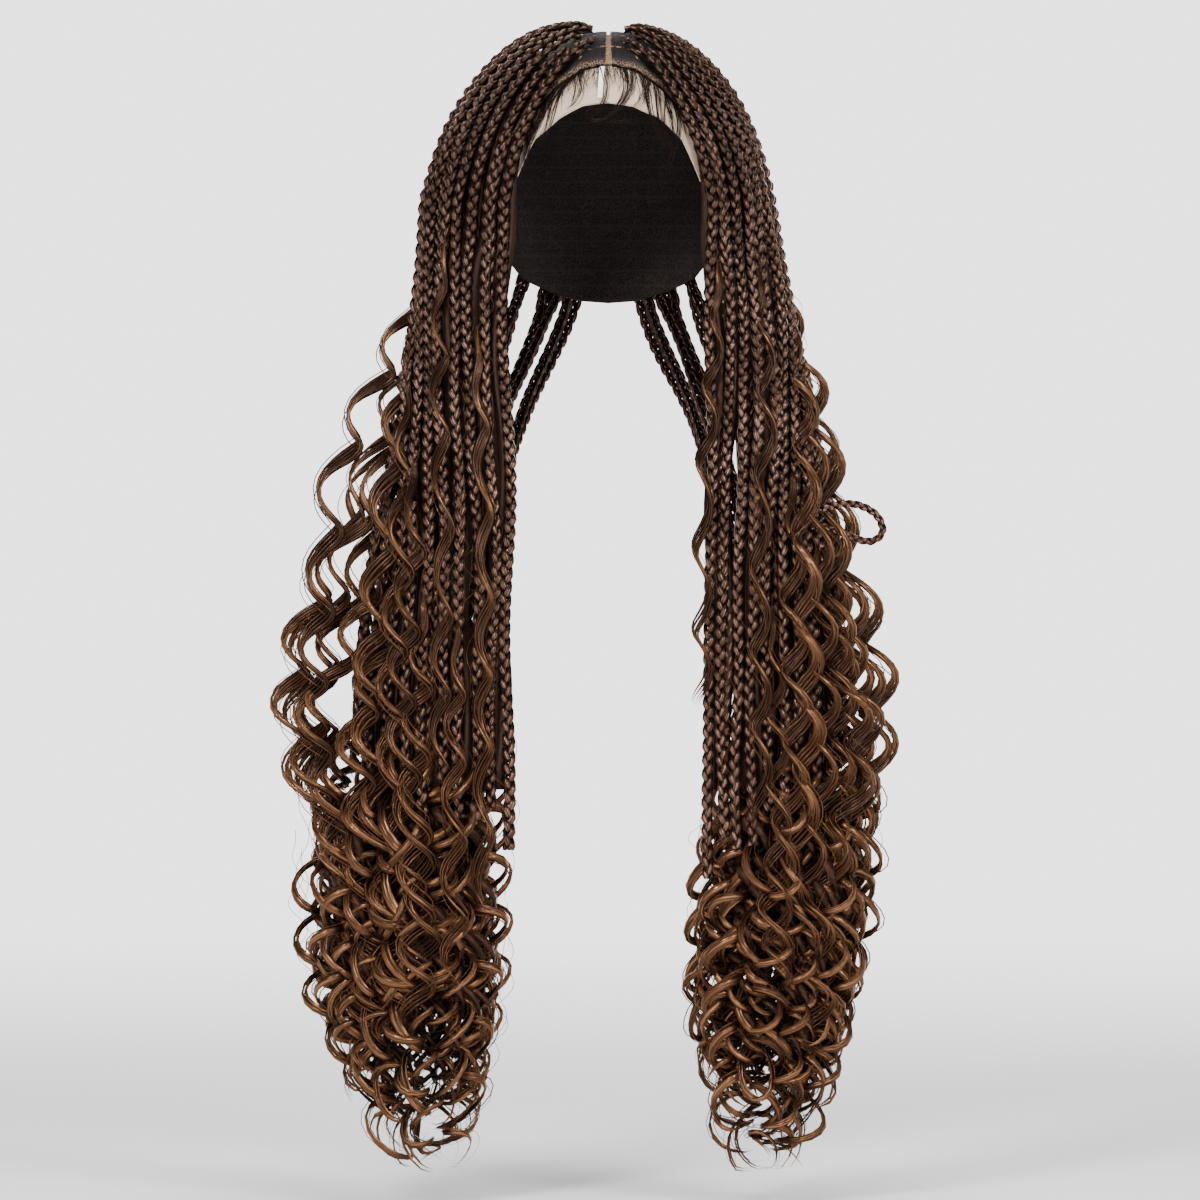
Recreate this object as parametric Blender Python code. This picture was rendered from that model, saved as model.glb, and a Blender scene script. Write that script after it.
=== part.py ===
"""A lace-front braid wig: a cap, flat crown hair, long box braids in two falls and curly ends.

Units are metres. +Z is up, the front of the wig faces -Y, and the origin is the top of the cap's hollow.
"""

import math

import bmesh
import bpy
from mathutils import Vector

MM = 0.001

# The head room inside the cap, an ellipsoid cut off below
HEAD_HALF_WIDTH = 76 * MM
HEAD_HALF_DEPTH = 95 * MM
HEAD_HALF_HEIGHT = 112 * MM

CAP_WALL = 1.6 * MM
LACE_WALL = 1.0 * MM
CROWN_WALL = 1.2 * MM
FIT_GAP = 0.3 * MM
CROWN_GAP = 0.75 * MM
PARTING_WIDTH = 1.8 * MM
SAME_POINT = 0.001 * MM

BRAID_RADIUS = 3.6 * MM
BRAID_ROOT_RADIUS = 2.3 * MM
BRAID_SIDES = 6
ROOT_DIP = 2.2 * MM
BRAID_CLEARANCE = 1.45 * MM
BRAIDS_PER_SIDE = 17

WAVE_RADIUS = 2.6 * MM
WAVE_ROOT_RADIUS = 1.3 * MM
WAVE_SIDES = 5

LOOP_RADIUS = 2.3 * MM

STRIP_WIDTH = 3.0 * MM
STRIP_LENGTH = 28 * MM
STRIP_WALL = 1.0 * MM

LEFT = -1
RIGHT = 1

# Where edges run round the dome: azimuth from the front and polar angle down from the top, in degrees
HAIRLINE = [
    # azimuth, polar
    (0, 33.0),
    (20, 35.5),
    (35, 44.0),
    (45, 56.0),
    (52, 72.0),
]
LACE_EDGE = [
    # azimuth, polar
    (0, 50.0),
    (15, 51.5),
    (28, 56.0),
    (40, 63.5),
    (46, 74.0),
    (52, 84.0),
]
CAP_EDGE = [
    # azimuth, polar
    (52, 72.0),
    (60, 86.0),
    (75, 93.0),
    (92, 87.0),
    (112, 93.0),
    (135, 108.0),
    (160, 115.0),
    (180, 116.0),
]
CROWN_EDGE = [
    # azimuth, polar
    (0, 32.4),
    (20, 35.0),
    (35, 43.0),
    (45, 54.0),
    (60, 66.0),
    (90, 72.0),
    (135, 82.0),
    (180, 86.0),
]

# The dome's columns, and the rows of the crown hair, which the cap shares so that their faces run level
AZIMUTHS = [0, 12, 24, 36, 45, 52, 60, 75, 90, 105, 120, 135, 150, 165, 180]
CROWN_ROWS = 5

# The sheet that the braids of one side hang in, in plan and in millimetres. Each row has a depth below the
# origin, then how far from the middle and how far back five stations lie, from the front inner edge, round
# the outside, to the back inner edge.
SHEET = [
    # depth, front inner, front outer, outside, back outer, back inner
    (100, (61, -68), (88, -44), (108, 4), (76, 78), (9, 103)),
    (160, (61, -73), (91, -54), (114, -4), (88, 64), (17, 96)),
    (230, (60, -84), (98, -72), (127, -26), (103, 22), (48, 58)),
    (300, (59, -94), (104, -92), (141, -60), (116, -24), (66, -12)),
    (380, (59, -99), (107, -101), (150, -74), (121, -48), (68, -45)),
    (480, (59, -100), (108, -103), (152, -77), (121, -52), (68, -50)),
]

# How wide each side's sheet is, as a share of the table above
SIDE_SHARE = [
    # depth, left, right
    (100, 1.05, 0.78),
    (160, 1.04, 0.90),
    (230, 0.98, 0.94),
    (300, 0.97, 0.89),
    (380, 1.02, 0.89),
    (480, 1.04, 0.92),
]
FRONT_CROWDING = 0.75

# Where the front and back roots lie beside the parting, and how far down its braid's way each root starts
FRONT_ROOT = Vector((10 * MM, -38 * MM, 0))
BACK_ROOT = Vector((11 * MM, 77 * MM, 0))
ROOT_STAGGER = [0.0, 0.17, 0.08]

# The curly ends of each side in millimetres: depth, inner and outer distance from the middle, front and back
CURLS = {
    LEFT: [
        # depth, inner, outer, front, back
        (404, 50, 190, -108, -36),
        (450, 50, 189, -114, -34),
        (520, 51, 184, -115, -34),
        (575, 54, 173, -112, -38),
        (615, 66, 158, -106, -44),
        (650, 76, 148, -100, -52),
        (670, 88, 138, -92, -60),
    ],
    RIGHT: [
        # depth, inner, outer, front, back
        (404, 50, 168, -108, -36),
        (450, 52, 165, -114, -34),
        (520, 48, 159, -115, -34),
        (575, 46, 143, -112, -38),
        (615, 54, 133, -106, -44),
        (650, 62, 124, -100, -52),
        (672, 76, 110, -92, -60),
    ],
}
CURL_TOP_INNER_DEPTH = 462 * MM
CURL_TOP_OUTER_DEPTH = 404 * MM
CURL_BODY_END_DEPTH = 652 * MM
CURL_LOBES = 9
CURL_ROWS = 20
CURL_WAVE = 46 * MM
LOCK_RADIUS = 6.5 * MM
LOCK_SWING = 7.0 * MM

# Ringlets that stand out of the curly ends: place round them in degrees, and depth where each starts and ends
LOCKS = [
    # around, start, end
    (0, 520, 600),
    (180, 500, 590),
    (20, 610, 664),
    (95, 605, 670),
    (160, 600, 660),
    (215, 610, 677),
    (290, 605, 662),
]

# Loose wavy locks beside the outer braids, in millimetres: the braid that each leaves, counted from 0, the
# depths where it starts and ends, how far out and back it drifts, and its wave's length and swing
WAVES = {
    LEFT: [
        # braid, start, end, outward, back, wave length, swing
        (8, 150, 405, 22, -6, 52, 7.0),
        (9, 190, 405, 26, 2, 47, 8.0),
        (10, 235, 420, 24, 12, 58, 6.0),
    ],
    RIGHT: [
        # braid, start, end, outward, back, wave length, swing
        (9, 170, 410, 8, 2, 55, 6.0),
        (10, 150, 405, 14, 10, 50, 7.0),
        (11, 225, 420, 18, 20, 56, 6.0),
    ],
}


def smooth_step(share):
    """Eases a share from 0 to 1."""
    held = min(max(share, 0.0), 1.0)
    return held * held * (3 - 2 * held)


def spline(values, share):
    """Reads a Catmull-Rom curve through values, which are numbers or vectors, at a share of its length."""
    last = len(values) - 1
    place = min(max(share, 0.0), 1.0) * last
    first = min(int(place), last - 1)
    t = place - first
    before = values[max(first - 1, 0)]
    start = values[first]
    end = values[first + 1]
    after = values[min(first + 2, last)]
    return 0.5 * (
        (2 * start)
        + (end - before) * t
        + (2 * before - 5 * start + 4 * end - after) * t**2
        + (3 * start - before - 3 * end + after) * t**3
    )


def read_table(rows, column, key):
    """Reads one column of a table between its rows, by the value of the first column."""
    if key <= rows[0][0]:
        return rows[0][column]
    for low, high in zip(rows, rows[1:]):
        if key <= high[0]:
            share = (key - low[0]) / (high[0] - low[0])
            return low[column] + (high[column] - low[column]) * share
    return rows[-1][column]


def dome_point(azimuth, polar, grow):
    """Returns a point on the head's ellipsoid grown by a distance, azimuth 0 at the front, in degrees."""
    around = math.radians(azimuth)
    down = math.radians(polar)
    return Vector((
        (HEAD_HALF_WIDTH + grow) * math.sin(down) * math.sin(around),
        -(HEAD_HALF_DEPTH + grow) * math.sin(down) * math.cos(around),
        (HEAD_HALF_HEIGHT + grow) * math.cos(down) - HEAD_HALF_HEIGHT,
    ))


def add_object(name, mesh_data, material):
    """Makes an object of a bmesh, with outward normals and its material."""
    bmesh.ops.recalc_face_normals(mesh_data, faces=mesh_data.faces)
    mesh = bpy.data.meshes.new(name)
    mesh_data.to_mesh(mesh)
    mesh_data.free()
    made = bpy.data.objects.new(name, mesh)
    bpy.context.scene.collection.objects.link(made)
    mesh.materials.append(material)
    return made


def make_material(name, colour, roughness):
    """Makes a plain material."""
    material = bpy.data.materials.new(name)
    material.use_nodes = True
    shader = material.node_tree.nodes["Principled BSDF"]
    shader.inputs["Base Color"].default_value = (*colour, 1)
    shader.inputs["Roughness"].default_value = roughness
    shader.inputs["Metallic"].default_value = 0
    return material


def shell(name, columns, material):
    """Makes a thin shell from columns of (outside point, inside point) pairs, closed along all its edges."""
    data = bmesh.new()
    outside = [[data.verts.new(pair[0]) for pair in column] for column in columns]
    inside = [[data.verts.new(pair[1]) for pair in column] for column in columns]
    across = len(columns)
    along = len(columns[0])
    for i in range(across - 1):
        for j in range(along - 1):
            data.faces.new((outside[i][j], outside[i + 1][j], outside[i + 1][j + 1], outside[i][j + 1]))
            data.faces.new((inside[i][j], inside[i][j + 1], inside[i + 1][j + 1], inside[i + 1][j]))
    for i in range(across - 1):
        for j in (0, along - 1):
            data.faces.new((outside[i][j], outside[i + 1][j], inside[i + 1][j], inside[i][j]))
    for j in range(along - 1):
        for i in (0, across - 1):
            data.faces.new((outside[i][j], outside[i][j + 1], inside[i][j + 1], inside[i][j]))
    bmesh.ops.remove_doubles(data, verts=data.verts, dist=SAME_POINT)
    return add_object(name, data, material)


def dome_columns(azimuths, edge, start, rows, low, high, shift=0.0):
    """Works out a dome shell's columns: from the polar angle start, or a table of it, to an edge table."""
    columns = []
    for azimuth in azimuths:
        side = abs(azimuth)
        first = read_table(start, 1, side) if isinstance(start, list) else start
        last = read_table(edge, 1, side)
        column = []
        for row in range(rows + 1):
            polar = first + (last - first) * row / rows
            offset = Vector((shift, 0, 0))
            column.append((
                dome_point(azimuth, polar, high) + offset,
                dome_point(azimuth, polar, low) + offset,
            ))
        columns.append(column)
    return columns


def cap_azimuths():
    """Returns the cap's columns all the way round, from just past the back on the left."""
    return [-step for step in reversed(AZIMUTHS[1:-1])] + AZIMUTHS


def build_cap(material):
    """Builds the cap: a dome shell round the head, its front edge on the hairline."""
    edge = HAIRLINE[:-1] + CAP_EDGE
    azimuths = cap_azimuths()
    rows = CROWN_ROWS + 2
    data = bmesh.new()
    rings = {}
    for layer, grow in (("out", CAP_WALL), ("in", 0.0)):
        rings[layer] = []
        for row in range(1, rows + 1):
            ring = []
            for azimuth in azimuths:
                upper = read_table(CROWN_EDGE, 1, abs(azimuth))
                lower = read_table(edge, 1, abs(azimuth))
                polar = upper * row / CROWN_ROWS
                if row > CROWN_ROWS:
                    polar = upper + (lower - upper) * (row - CROWN_ROWS) / 2
                ring.append(data.verts.new(dome_point(azimuth, polar, grow)))
            rings[layer].append(ring)
    count = len(azimuths)
    for layer, grow in (("out", CAP_WALL), ("in", 0.0)):
        top = data.verts.new(dome_point(0, 0, grow))
        for i in range(count):
            following = (i + 1) % count
            data.faces.new((top, rings[layer][0][i], rings[layer][0][following]))
            for upper, lower in zip(rings[layer], rings[layer][1:]):
                data.faces.new((upper[i], lower[i], lower[following], upper[following]))
    for i in range(count):
        following = (i + 1) % count
        rim_out = rings["out"][-1]
        rim_in = rings["in"][-1]
        data.faces.new((rim_out[i], rim_in[i], rim_in[following], rim_out[following]))
    return add_object("cap", data, material)


def build_lace(material):
    """Builds the net band in front of the hairline, a small gap ahead of the cap's edge."""
    gap = 0.35
    start = [(azimuth, polar + gap) for azimuth, polar in HAIRLINE]
    azimuths = [step for step in cap_azimuths() if abs(step) <= HAIRLINE[-1][0]]
    columns = dome_columns(azimuths, LACE_EDGE, start, 3, 0.2 * MM, 0.2 * MM + LACE_WALL)
    return shell("lace_front", columns, material)


def build_crown(side, material):
    """Builds the flat hair over one half of the cap, a parting's half width out from the middle."""
    low = CAP_WALL + CROWN_GAP
    azimuths = [side * step for step in AZIMUTHS]
    shift = side * PARTING_WIDTH / 2
    columns = dome_columns(azimuths, CROWN_EDGE, 0.0, CROWN_ROWS, low, low + CROWN_WALL, shift)
    name = "crown_hair_left" if side == LEFT else "crown_hair_right"
    return shell(name, columns, material)


def build_strip(material):
    """Builds the narrow clear strip that lies on the lace beside the parting."""
    azimuth = -5.0
    first = 34.6
    steps = 4
    low = LACE_WALL + 0.2 * MM + FIT_GAP
    turn = math.degrees(STRIP_LENGTH / (HEAD_HALF_HEIGHT + low))
    columns = []
    for offset in (-STRIP_WIDTH / 2, STRIP_WIDTH / 2):
        column = []
        for step in range(steps + 1):
            polar = first + turn * step / steps
            lift = Vector((offset, 0, 0))
            column.append((
                dome_point(azimuth, polar, low + STRIP_WALL) + lift,
                dome_point(azimuth, polar, low) + lift,
            ))
        columns.append(column)
    return shell("front_strip", columns, material)


def even_share(stations, share):
    """Turns a share of a curve's length into the share that the spline through its stations reads."""
    fine = 40
    places = [spline(stations, step / fine) for step in range(fine + 1)]
    lengths = [0.0]
    for before, after in zip(places, places[1:]):
        lengths.append(lengths[-1] + (after - before).length)
    wanted = share * lengths[-1]
    for step in range(fine):
        if wanted <= lengths[step + 1]:
            part = (wanted - lengths[step]) / (lengths[step + 1] - lengths[step])
            return (step + part) / fine
    return 1.0


def sheet_point(side, around, depth):
    """Returns where the sheet of braids runs: around it from 0 at the front to 1 at the back, at a depth."""
    stations = []
    depths = [row[0] for row in SHEET]
    place = 0.0
    for index, (low, high) in enumerate(zip(depths, depths[1:])):
        if depth >= low:
            place = index + (depth - low) / (high - low)
    share = place / (len(depths) - 1)
    for station in range(5):
        stations.append(spline([Vector(row[station + 1]) for row in SHEET], share))
    crowded = around * (FRONT_CROWDING + (1 - FRONT_CROWDING) * around)
    plan = spline(stations, even_share(stations, crowded))
    inner = stations[0].x
    share = read_table(SIDE_SHARE, 1 if side == LEFT else 2, depth)
    outward = inner + (plan.x - inner) * share if plan.x > inner else plan.x
    return Vector((side * outward * MM, plan.y * MM, -depth * MM))


def dome_scale(point, grow):
    """Measures a point in units of the grown ellipsoid, so that 1 is on it."""
    return Vector((
        point.x / (HEAD_HALF_WIDTH + grow),
        point.y / (HEAD_HALF_DEPTH + grow),
        (point.z + HEAD_HALF_HEIGHT) / (HEAD_HALF_HEIGHT + grow),
    ))


def braid_path(side, around, stagger, end_depth, dome_steps=6, hang_step=46.0):
    """Works out a braid's centre line: from its root, over the crown, and down in the sheet."""
    grow = CAP_WALL + CROWN_GAP + CROWN_WALL + BRAID_CLEARANCE + BRAID_RADIUS
    root = FRONT_ROOT.lerp(BACK_ROOT, around)
    flat = dome_scale(Vector((side * root.x, root.y, 0)), grow)
    flat.z = math.sqrt(max(1 - flat.x**2 - flat.y**2, 0.0))
    leave = sheet_point(side, around, SHEET[0][0])
    hang = dome_scale(leave, grow)
    reach = hang.length
    towards = hang.normalized()
    angle = flat.angle(towards)
    points = []
    for step in range(dome_steps + 1):
        share = stagger + (1 - stagger) * step / dome_steps
        unit = (flat * math.sin((1 - share) * angle) + towards * math.sin(share * angle)) / math.sin(angle)
        unit *= 1 + (reach - 1) * share
        points.append(Vector((
            unit.x * (HEAD_HALF_WIDTH + grow),
            unit.y * (HEAD_HALF_DEPTH + grow),
            unit.z * (HEAD_HALF_HEIGHT + grow) - HEAD_HALF_HEIGHT,
        )))
    seat = Vector((0, 0, -HEAD_HALF_HEIGHT))
    points[0] += (seat - points[0]).normalized() * ROOT_DIP
    first = SHEET[0][0]
    hangs = max(int(round((end_depth - first) / hang_step)), 2)
    for step in range(1, hangs + 1):
        depth = first + (end_depth - first) * step / hangs
        points.append(sheet_point(side, around, depth))
    return points


def frames(points):
    """Returns the tangent and two crosswise directions at each point of a path, without twist."""
    tangents = []
    for index in range(len(points)):
        before = points[max(index - 1, 0)]
        after = points[min(index + 1, len(points) - 1)]
        tangents.append((after - before).normalized())
    across = tangents[0].orthogonal().normalized()
    made = []
    for tangent in tangents:
        across = (across - tangent * across.dot(tangent)).normalized()
        made.append((tangent, across, tangent.cross(across)))
    return made


def tube_mesh(points, radii, sides, flatten_end=None):
    """Makes a closed tube round a path. A plane given as flatten_end cuts its last ring level with it."""
    data = bmesh.new()
    rings = []
    for index, (point, (_, across, up)) in enumerate(zip(points, frames(points))):
        ring = []
        for step in range(sides):
            turn = 2 * math.pi * step / sides
            place = point + (across * math.cos(turn) + up * math.sin(turn)) * radii[index]
            if flatten_end is not None and index == len(points) - 1:
                place.z = flatten_end(place.x)
            ring.append(data.verts.new(place))
        rings.append(ring)
    for upper, lower in zip(rings, rings[1:]):
        for step in range(sides):
            following = (step + 1) % sides
            data.faces.new((upper[step], lower[step], lower[following], upper[following]))
    data.faces.new(rings[0])
    data.faces.new(list(reversed(rings[-1])))
    return data


def curl_top(side, x):
    """Returns the height of the curly ends' sloping top at a distance across."""
    rows = CURLS[side]
    inner = rows[0][1] * MM
    outer = rows[0][2] * MM
    share = (abs(x) - inner) / (outer - inner)
    return -(CURL_TOP_INNER_DEPTH + (CURL_TOP_OUTER_DEPTH - CURL_TOP_INNER_DEPTH) * share)


def braid_lane(index):
    """Returns a braid's place around the sheet and its root's stagger, by its number from the front."""
    around = (index + 0.15) / (BRAIDS_PER_SIDE - 0.7)
    return around, ROOT_STAGGER[index % len(ROOT_STAGGER)]


def build_braid(side, index, material):
    """Builds one box braid, which ends on the sloping top of the curls."""
    around, stagger = braid_lane(index)
    bottom = sheet_point(side, around, 440)
    end = curl_top(side, bottom.x) + FIT_GAP
    points = braid_path(side, around, stagger, -end / MM)
    radii = [BRAID_RADIUS] * len(points)
    radii[0] = BRAID_ROOT_RADIUS
    radii[1] = (BRAID_ROOT_RADIUS + 2 * BRAID_RADIUS) / 3
    data = tube_mesh(points, radii, BRAID_SIDES, lambda x: curl_top(side, x) + FIT_GAP)
    word = "left" if side == LEFT else "right"
    return add_object(f"braid_{word}_{index + 1:02d}", data, material)


def build_loop(material):
    """Builds the thin braid that stands out of the right fall as a flat loop."""
    around, _ = braid_lane(7)
    lane = sheet_point(RIGHT, around, 290)
    away = BRAID_RADIUS + FIT_GAP
    start = lane + Vector((away, 0, 0))
    route = [
        # out from the fall, forward, up
        (0, 0, 4),
        (10, -3, 9),
        (24, -6, 10),
        (36, -8, 4),
        (40, -9, -6),
        (33, -9, -12),
        (20, -7, -9),
        (8, -4, -4),
        (0, -1.5, -3),
    ]
    nodes = [start + Vector((out, fore, up)) * MM for out, fore, up in route]
    steps = 18
    points = [spline(nodes, step / steps) for step in range(steps + 1)]
    radii = [LOOP_RADIUS] * len(points)
    data = tube_mesh(points, radii, BRAID_SIDES)
    return add_object("braid_loop_right", data, material)


def build_wave(side, number, row, material):
    """Builds one loose wavy lock, from the braid that it leaves down to the top of the curls."""
    braid, start, end, outward, back, wave_length, swing = row
    around, _ = braid_lane(braid)
    steps = 22
    root_away = BRAID_RADIUS + WAVE_ROOT_RADIUS
    away = BRAID_RADIUS + WAVE_RADIUS + 3 * FIT_GAP
    points = []
    for step in range(steps + 1):
        share = step / steps
        depth = start + (end - start) * share
        place = sheet_point(side, around, depth)
        eased = smooth_step(share * 1.6)
        phase = 2 * math.pi * (depth - start) / wave_length
        held = smooth_step(share * 4) * smooth_step((1 - share) * 6)
        sway = swing * held * (1 - math.cos(phase)) / 2
        clear = root_away + (away - root_away) * smooth_step(share * 12)
        place.x += side * (clear + outward * MM * eased + sway * MM)
        place.y += (back * eased + swing * 0.5 * held * math.sin(phase)) * MM
        points.append(place)
    low = curl_top(side, points[-1].x) + FIT_GAP
    drop = low - points[-1].z
    for index, point in enumerate(points):
        point.z += drop * (index / steps)
    radii = [WAVE_RADIUS] * len(points)
    radii[0] = WAVE_ROOT_RADIUS
    data = tube_mesh(points, radii, WAVE_SIDES, lambda x: curl_top(side, x) + FIT_GAP)
    word = "left" if side == LEFT else "right"
    return add_object(f"wave_{word}_{number:02d}", data, material)


def curl_section(side, depth, turn, shrink=1.0):
    """Returns a point on the outline of the curly ends at a depth, by its place around in radians."""
    rows = CURLS[side]
    inner, outer, front, back = (read_table(rows, column, depth) for column in (1, 2, 3, 4))
    half_width = (outer - inner) / 2
    half_depth = (back - front) / 2
    power = 0.8
    cosine = math.cos(turn)
    sine = math.sin(turn)
    x = math.copysign(abs(cosine) ** power, cosine) * half_width * shrink + (outer + inner) / 2
    y = math.copysign(abs(sine) ** power, sine) * half_depth * shrink + (front + back) / 2
    return Vector((side * x * MM, y * MM, -depth * MM))


def build_curl_body(side):
    """Builds the body of one side's curly ends: ringlets that run down it as lobes, under a sloping top."""
    data = bmesh.new()
    rings = []
    for row in range(CURL_ROWS + 1):
        ring = []
        for step in range(2 * CURL_LOBES):
            lobe, valley = divmod(step, 2)
            turn = 2 * math.pi * step / (2 * CURL_LOBES)
            rim = curl_section(side, CURL_TOP_OUTER_DEPTH / MM, turn)
            high = curl_top(side, rim.x)
            height = high + (-CURL_BODY_END_DEPTH - high) * row / CURL_ROWS
            phase = -2 * math.pi * height / CURL_WAVE + 2.1 * lobe
            swing = min(row / 4, 1)
            shrink = 0.84 if valley else 0.96 + 0.05 * math.cos(phase) * swing
            sway = 0.13 * math.sin(phase) * swing
            place = curl_section(side, -height / MM, turn + sway, shrink)
            place.z = curl_top(side, place.x) if row == 0 else height
            ring.append(data.verts.new(place))
        rings.append(ring)
    for upper, lower in zip(rings, rings[1:]):
        for step in range(2 * CURL_LOBES):
            following = (step + 1) % (2 * CURL_LOBES)
            data.faces.new((upper[step], lower[step], lower[following], upper[following]))
    data.faces.new(rings[0])
    data.faces.new(list(reversed(rings[-1])))
    return data


def build_lock(side, row):
    """Builds one ringlet that winds out of the curly ends and ends in a tip."""
    around, start, end = row
    turn = math.radians(around)
    steps = 10
    points = []
    radii = []
    for step in range(steps + 1):
        share = step / steps
        depth = start + (end - start) * share
        place = curl_section(side, min(depth, 665), turn, 0.72 + 0.2 * share)
        place.z = -depth * MM
        phase = 2 * math.pi * depth * MM / CURL_WAVE + around
        place.x += LOCK_SWING * math.cos(phase) * min(share * 2, 1)
        place.y += LOCK_SWING * math.sin(phase) * min(share * 2, 1)
        points.append(place)
        radii.append(LOCK_RADIUS * (1 - 0.6 * share**2))
    return tube_mesh(points, radii, 5)


def build_curls(side, material):
    """Builds the curly ends of one side: a body of ringlets with the ones that stand out fused to it."""
    word = "left" if side == LEFT else "right"
    core = add_object(f"curls_{word}", build_curl_body(side), material)
    for number, row in enumerate(LOCKS):
        lock = add_object(f"lock_{word}_{number:02d}", build_lock(side, row), material)
        union = core.modifiers.new("fuse", "BOOLEAN")
        union.operation = "UNION"
        union.solver = "EXACT"
        union.object = lock
        bpy.context.view_layer.objects.active = core
        bpy.ops.object.modifier_apply(modifier=union.name)
        bpy.data.objects.remove(lock)
    return core


def main():
    """Builds every piece of the wig."""
    for old in list(bpy.data.objects):
        bpy.data.objects.remove(old)
    net = make_material("cap_net", (0.05, 0.04, 0.035), 0.8)
    lace = make_material("lace", (0.62, 0.47, 0.36), 0.7)
    dark = make_material("crown_hair", (0.012, 0.008, 0.008), 0.45)
    brown = make_material("braid_hair", (0.07, 0.03, 0.02), 0.45)
    chestnut = make_material("curl_hair", (0.18, 0.075, 0.035), 0.4)
    clear = make_material("clear_plastic", (0.8, 0.8, 0.8), 0.3)
    build_cap(net)
    build_lace(lace)
    build_strip(clear)
    for side in (LEFT, RIGHT):
        build_crown(side, dark)
        for index in range(BRAIDS_PER_SIDE):
            build_braid(side, index, brown)
        for number, row in enumerate(WAVES[side]):
            build_wave(side, number + 1, row, chestnut)
        build_curls(side, chestnut)
    build_loop(brown)


main()
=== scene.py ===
"""Dresses the braid wig: plaits, ringlets, wavy locks, flat crown hair, lace net and baby hairs.

Units are metres. +Z is up, the front of the wig faces -Y, and the origin is the top of the cap's hollow.
"""

import logging
import math
from abc import ABC, abstractmethod
from dataclasses import dataclass, field
from enum import Enum

import bpy
import numpy as np
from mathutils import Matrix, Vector
from numpy.typing import NDArray


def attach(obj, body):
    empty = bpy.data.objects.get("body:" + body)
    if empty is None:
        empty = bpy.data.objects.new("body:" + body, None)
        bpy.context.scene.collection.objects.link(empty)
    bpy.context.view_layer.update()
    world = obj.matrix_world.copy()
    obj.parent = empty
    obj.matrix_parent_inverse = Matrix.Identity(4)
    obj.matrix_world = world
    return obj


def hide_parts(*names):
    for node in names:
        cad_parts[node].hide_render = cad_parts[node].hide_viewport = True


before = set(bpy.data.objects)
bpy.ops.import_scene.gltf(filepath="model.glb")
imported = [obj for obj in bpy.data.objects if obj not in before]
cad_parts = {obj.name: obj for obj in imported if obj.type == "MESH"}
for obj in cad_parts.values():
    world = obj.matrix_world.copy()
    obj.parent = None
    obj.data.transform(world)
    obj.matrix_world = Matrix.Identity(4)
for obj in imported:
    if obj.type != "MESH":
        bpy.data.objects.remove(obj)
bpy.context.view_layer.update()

LOG = logging.getLogger("wig")
Array = NDArray[np.float64]
Pair = tuple[float, float]
Triple = tuple[float, float, float]
Colour = Triple
Table = tuple[tuple, ...]
Piece = bpy.types.Object
Material = bpy.types.Material
Node = bpy.types.Node
Random = np.random.Generator
Socket = bpy.types.NodeSocket

MM = 0.001
STRAND_MAP = "Strand"
# Per-point mesh numbers: the first holds each strand's own tone together with painted shade, the second holds
# painted highlight
TONE_AND_PAINTED_SHADE = "tint"
PAINTED_HIGHLIGHT = "gleam"
PARTING = "parting"
# The share of a turn between one lock and the next that spreads them evenly round a section
EVEN_TURN = 0.381966


class Side(Enum):
    """A side of the wig, as its front is looked at."""

    LEFT = -1
    RIGHT = 1

    @property
    def word(self) -> str:
        """Returns the side's name in the names of pieces."""
        return self.name.lower()


@dataclass(kw_only=True)
class SidedHair(ABC):
    """Hair that is built as one or more pieces on each side of the wig."""

    material: Material | None = None

    def build(self) -> list[Piece]:
        """Builds the pieces of both sides."""
        return [piece for side in Side for piece in self.build_side(side)]

    @abstractmethod
    def build_side(self, side: Side) -> list[Piece]:
        """Builds the pieces of one side.

        Args:
            side: their side.

        Returns:
            The pieces.
        """


class Blend(Enum):
    """How one colour goes over another."""

    MIX = "MIX"
    MULTIPLY = "MULTIPLY"


def smooth_step(share: Array | float) -> Array:
    """Eases a share from 0 to 1."""
    held = np.clip(share, 0.0, 1.0)
    return held * held * (3 - 2 * held)


def unit(vectors: Array) -> Array:
    """Returns vectors at length 1."""
    return vectors / np.maximum(np.linalg.norm(vectors, axis=-1, keepdims=True), 1e-12)


def spline(values: Array, shares: Array) -> Array:
    """Reads a Catmull-Rom curve through points at shares of its way.

    Args:
        values: the points, a row each.
        shares: where to read it, from 0 to 1.

    Returns:
        A row for each share.
    """
    last = len(values) - 1
    place = np.clip(shares, 0.0, 1.0) * last
    first = np.minimum(place.astype(int), last - 1)
    t = (place - first)[..., None]
    before = values[np.maximum(first - 1, 0)]
    start = values[first]
    end = values[first + 1]
    after = values[np.minimum(first + 2, last)]
    return 0.5 * (
        2 * start
        + (end - before) * t
        + (2 * before - 5 * start + 4 * end - after) * t**2
        + (3 * start - before - 3 * end + after) * t**3
    )


def along(points: Array) -> Array:
    """Returns the length of the way to each point of a path."""
    steps = np.linalg.norm(np.diff(points, axis=0), axis=1)
    return np.concatenate([[0.0], np.cumsum(steps)])


def resampled(points: Array, spacing: float) -> Array:
    """Reads a smooth path through points at an even spacing.

    Args:
        points: the path's own points, a row each.
        spacing: the wanted distance between the new ones.

    Returns:
        The new points.
    """
    fine = spline(points, np.linspace(0, 1, 12 * len(points)))
    lengths = along(fine)
    count = max(int(lengths[-1] / spacing), 3) + 1
    wanted = np.linspace(0, lengths[-1], count)
    return np.stack([np.interp(wanted, lengths, fine[:, axis]) for axis in range(3)], axis=1)


def tangents(points: Array) -> Array:
    """Returns the direction of a path at each of its points."""
    return unit(np.gradient(points, axis=0))


def squared(vectors: Array, forward: Array) -> Array:
    """Returns what of some vectors lies square to a way's direction, at length 1."""
    return unit(vectors - forward * np.sum(vectors * forward, axis=1, keepdims=True))


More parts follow.
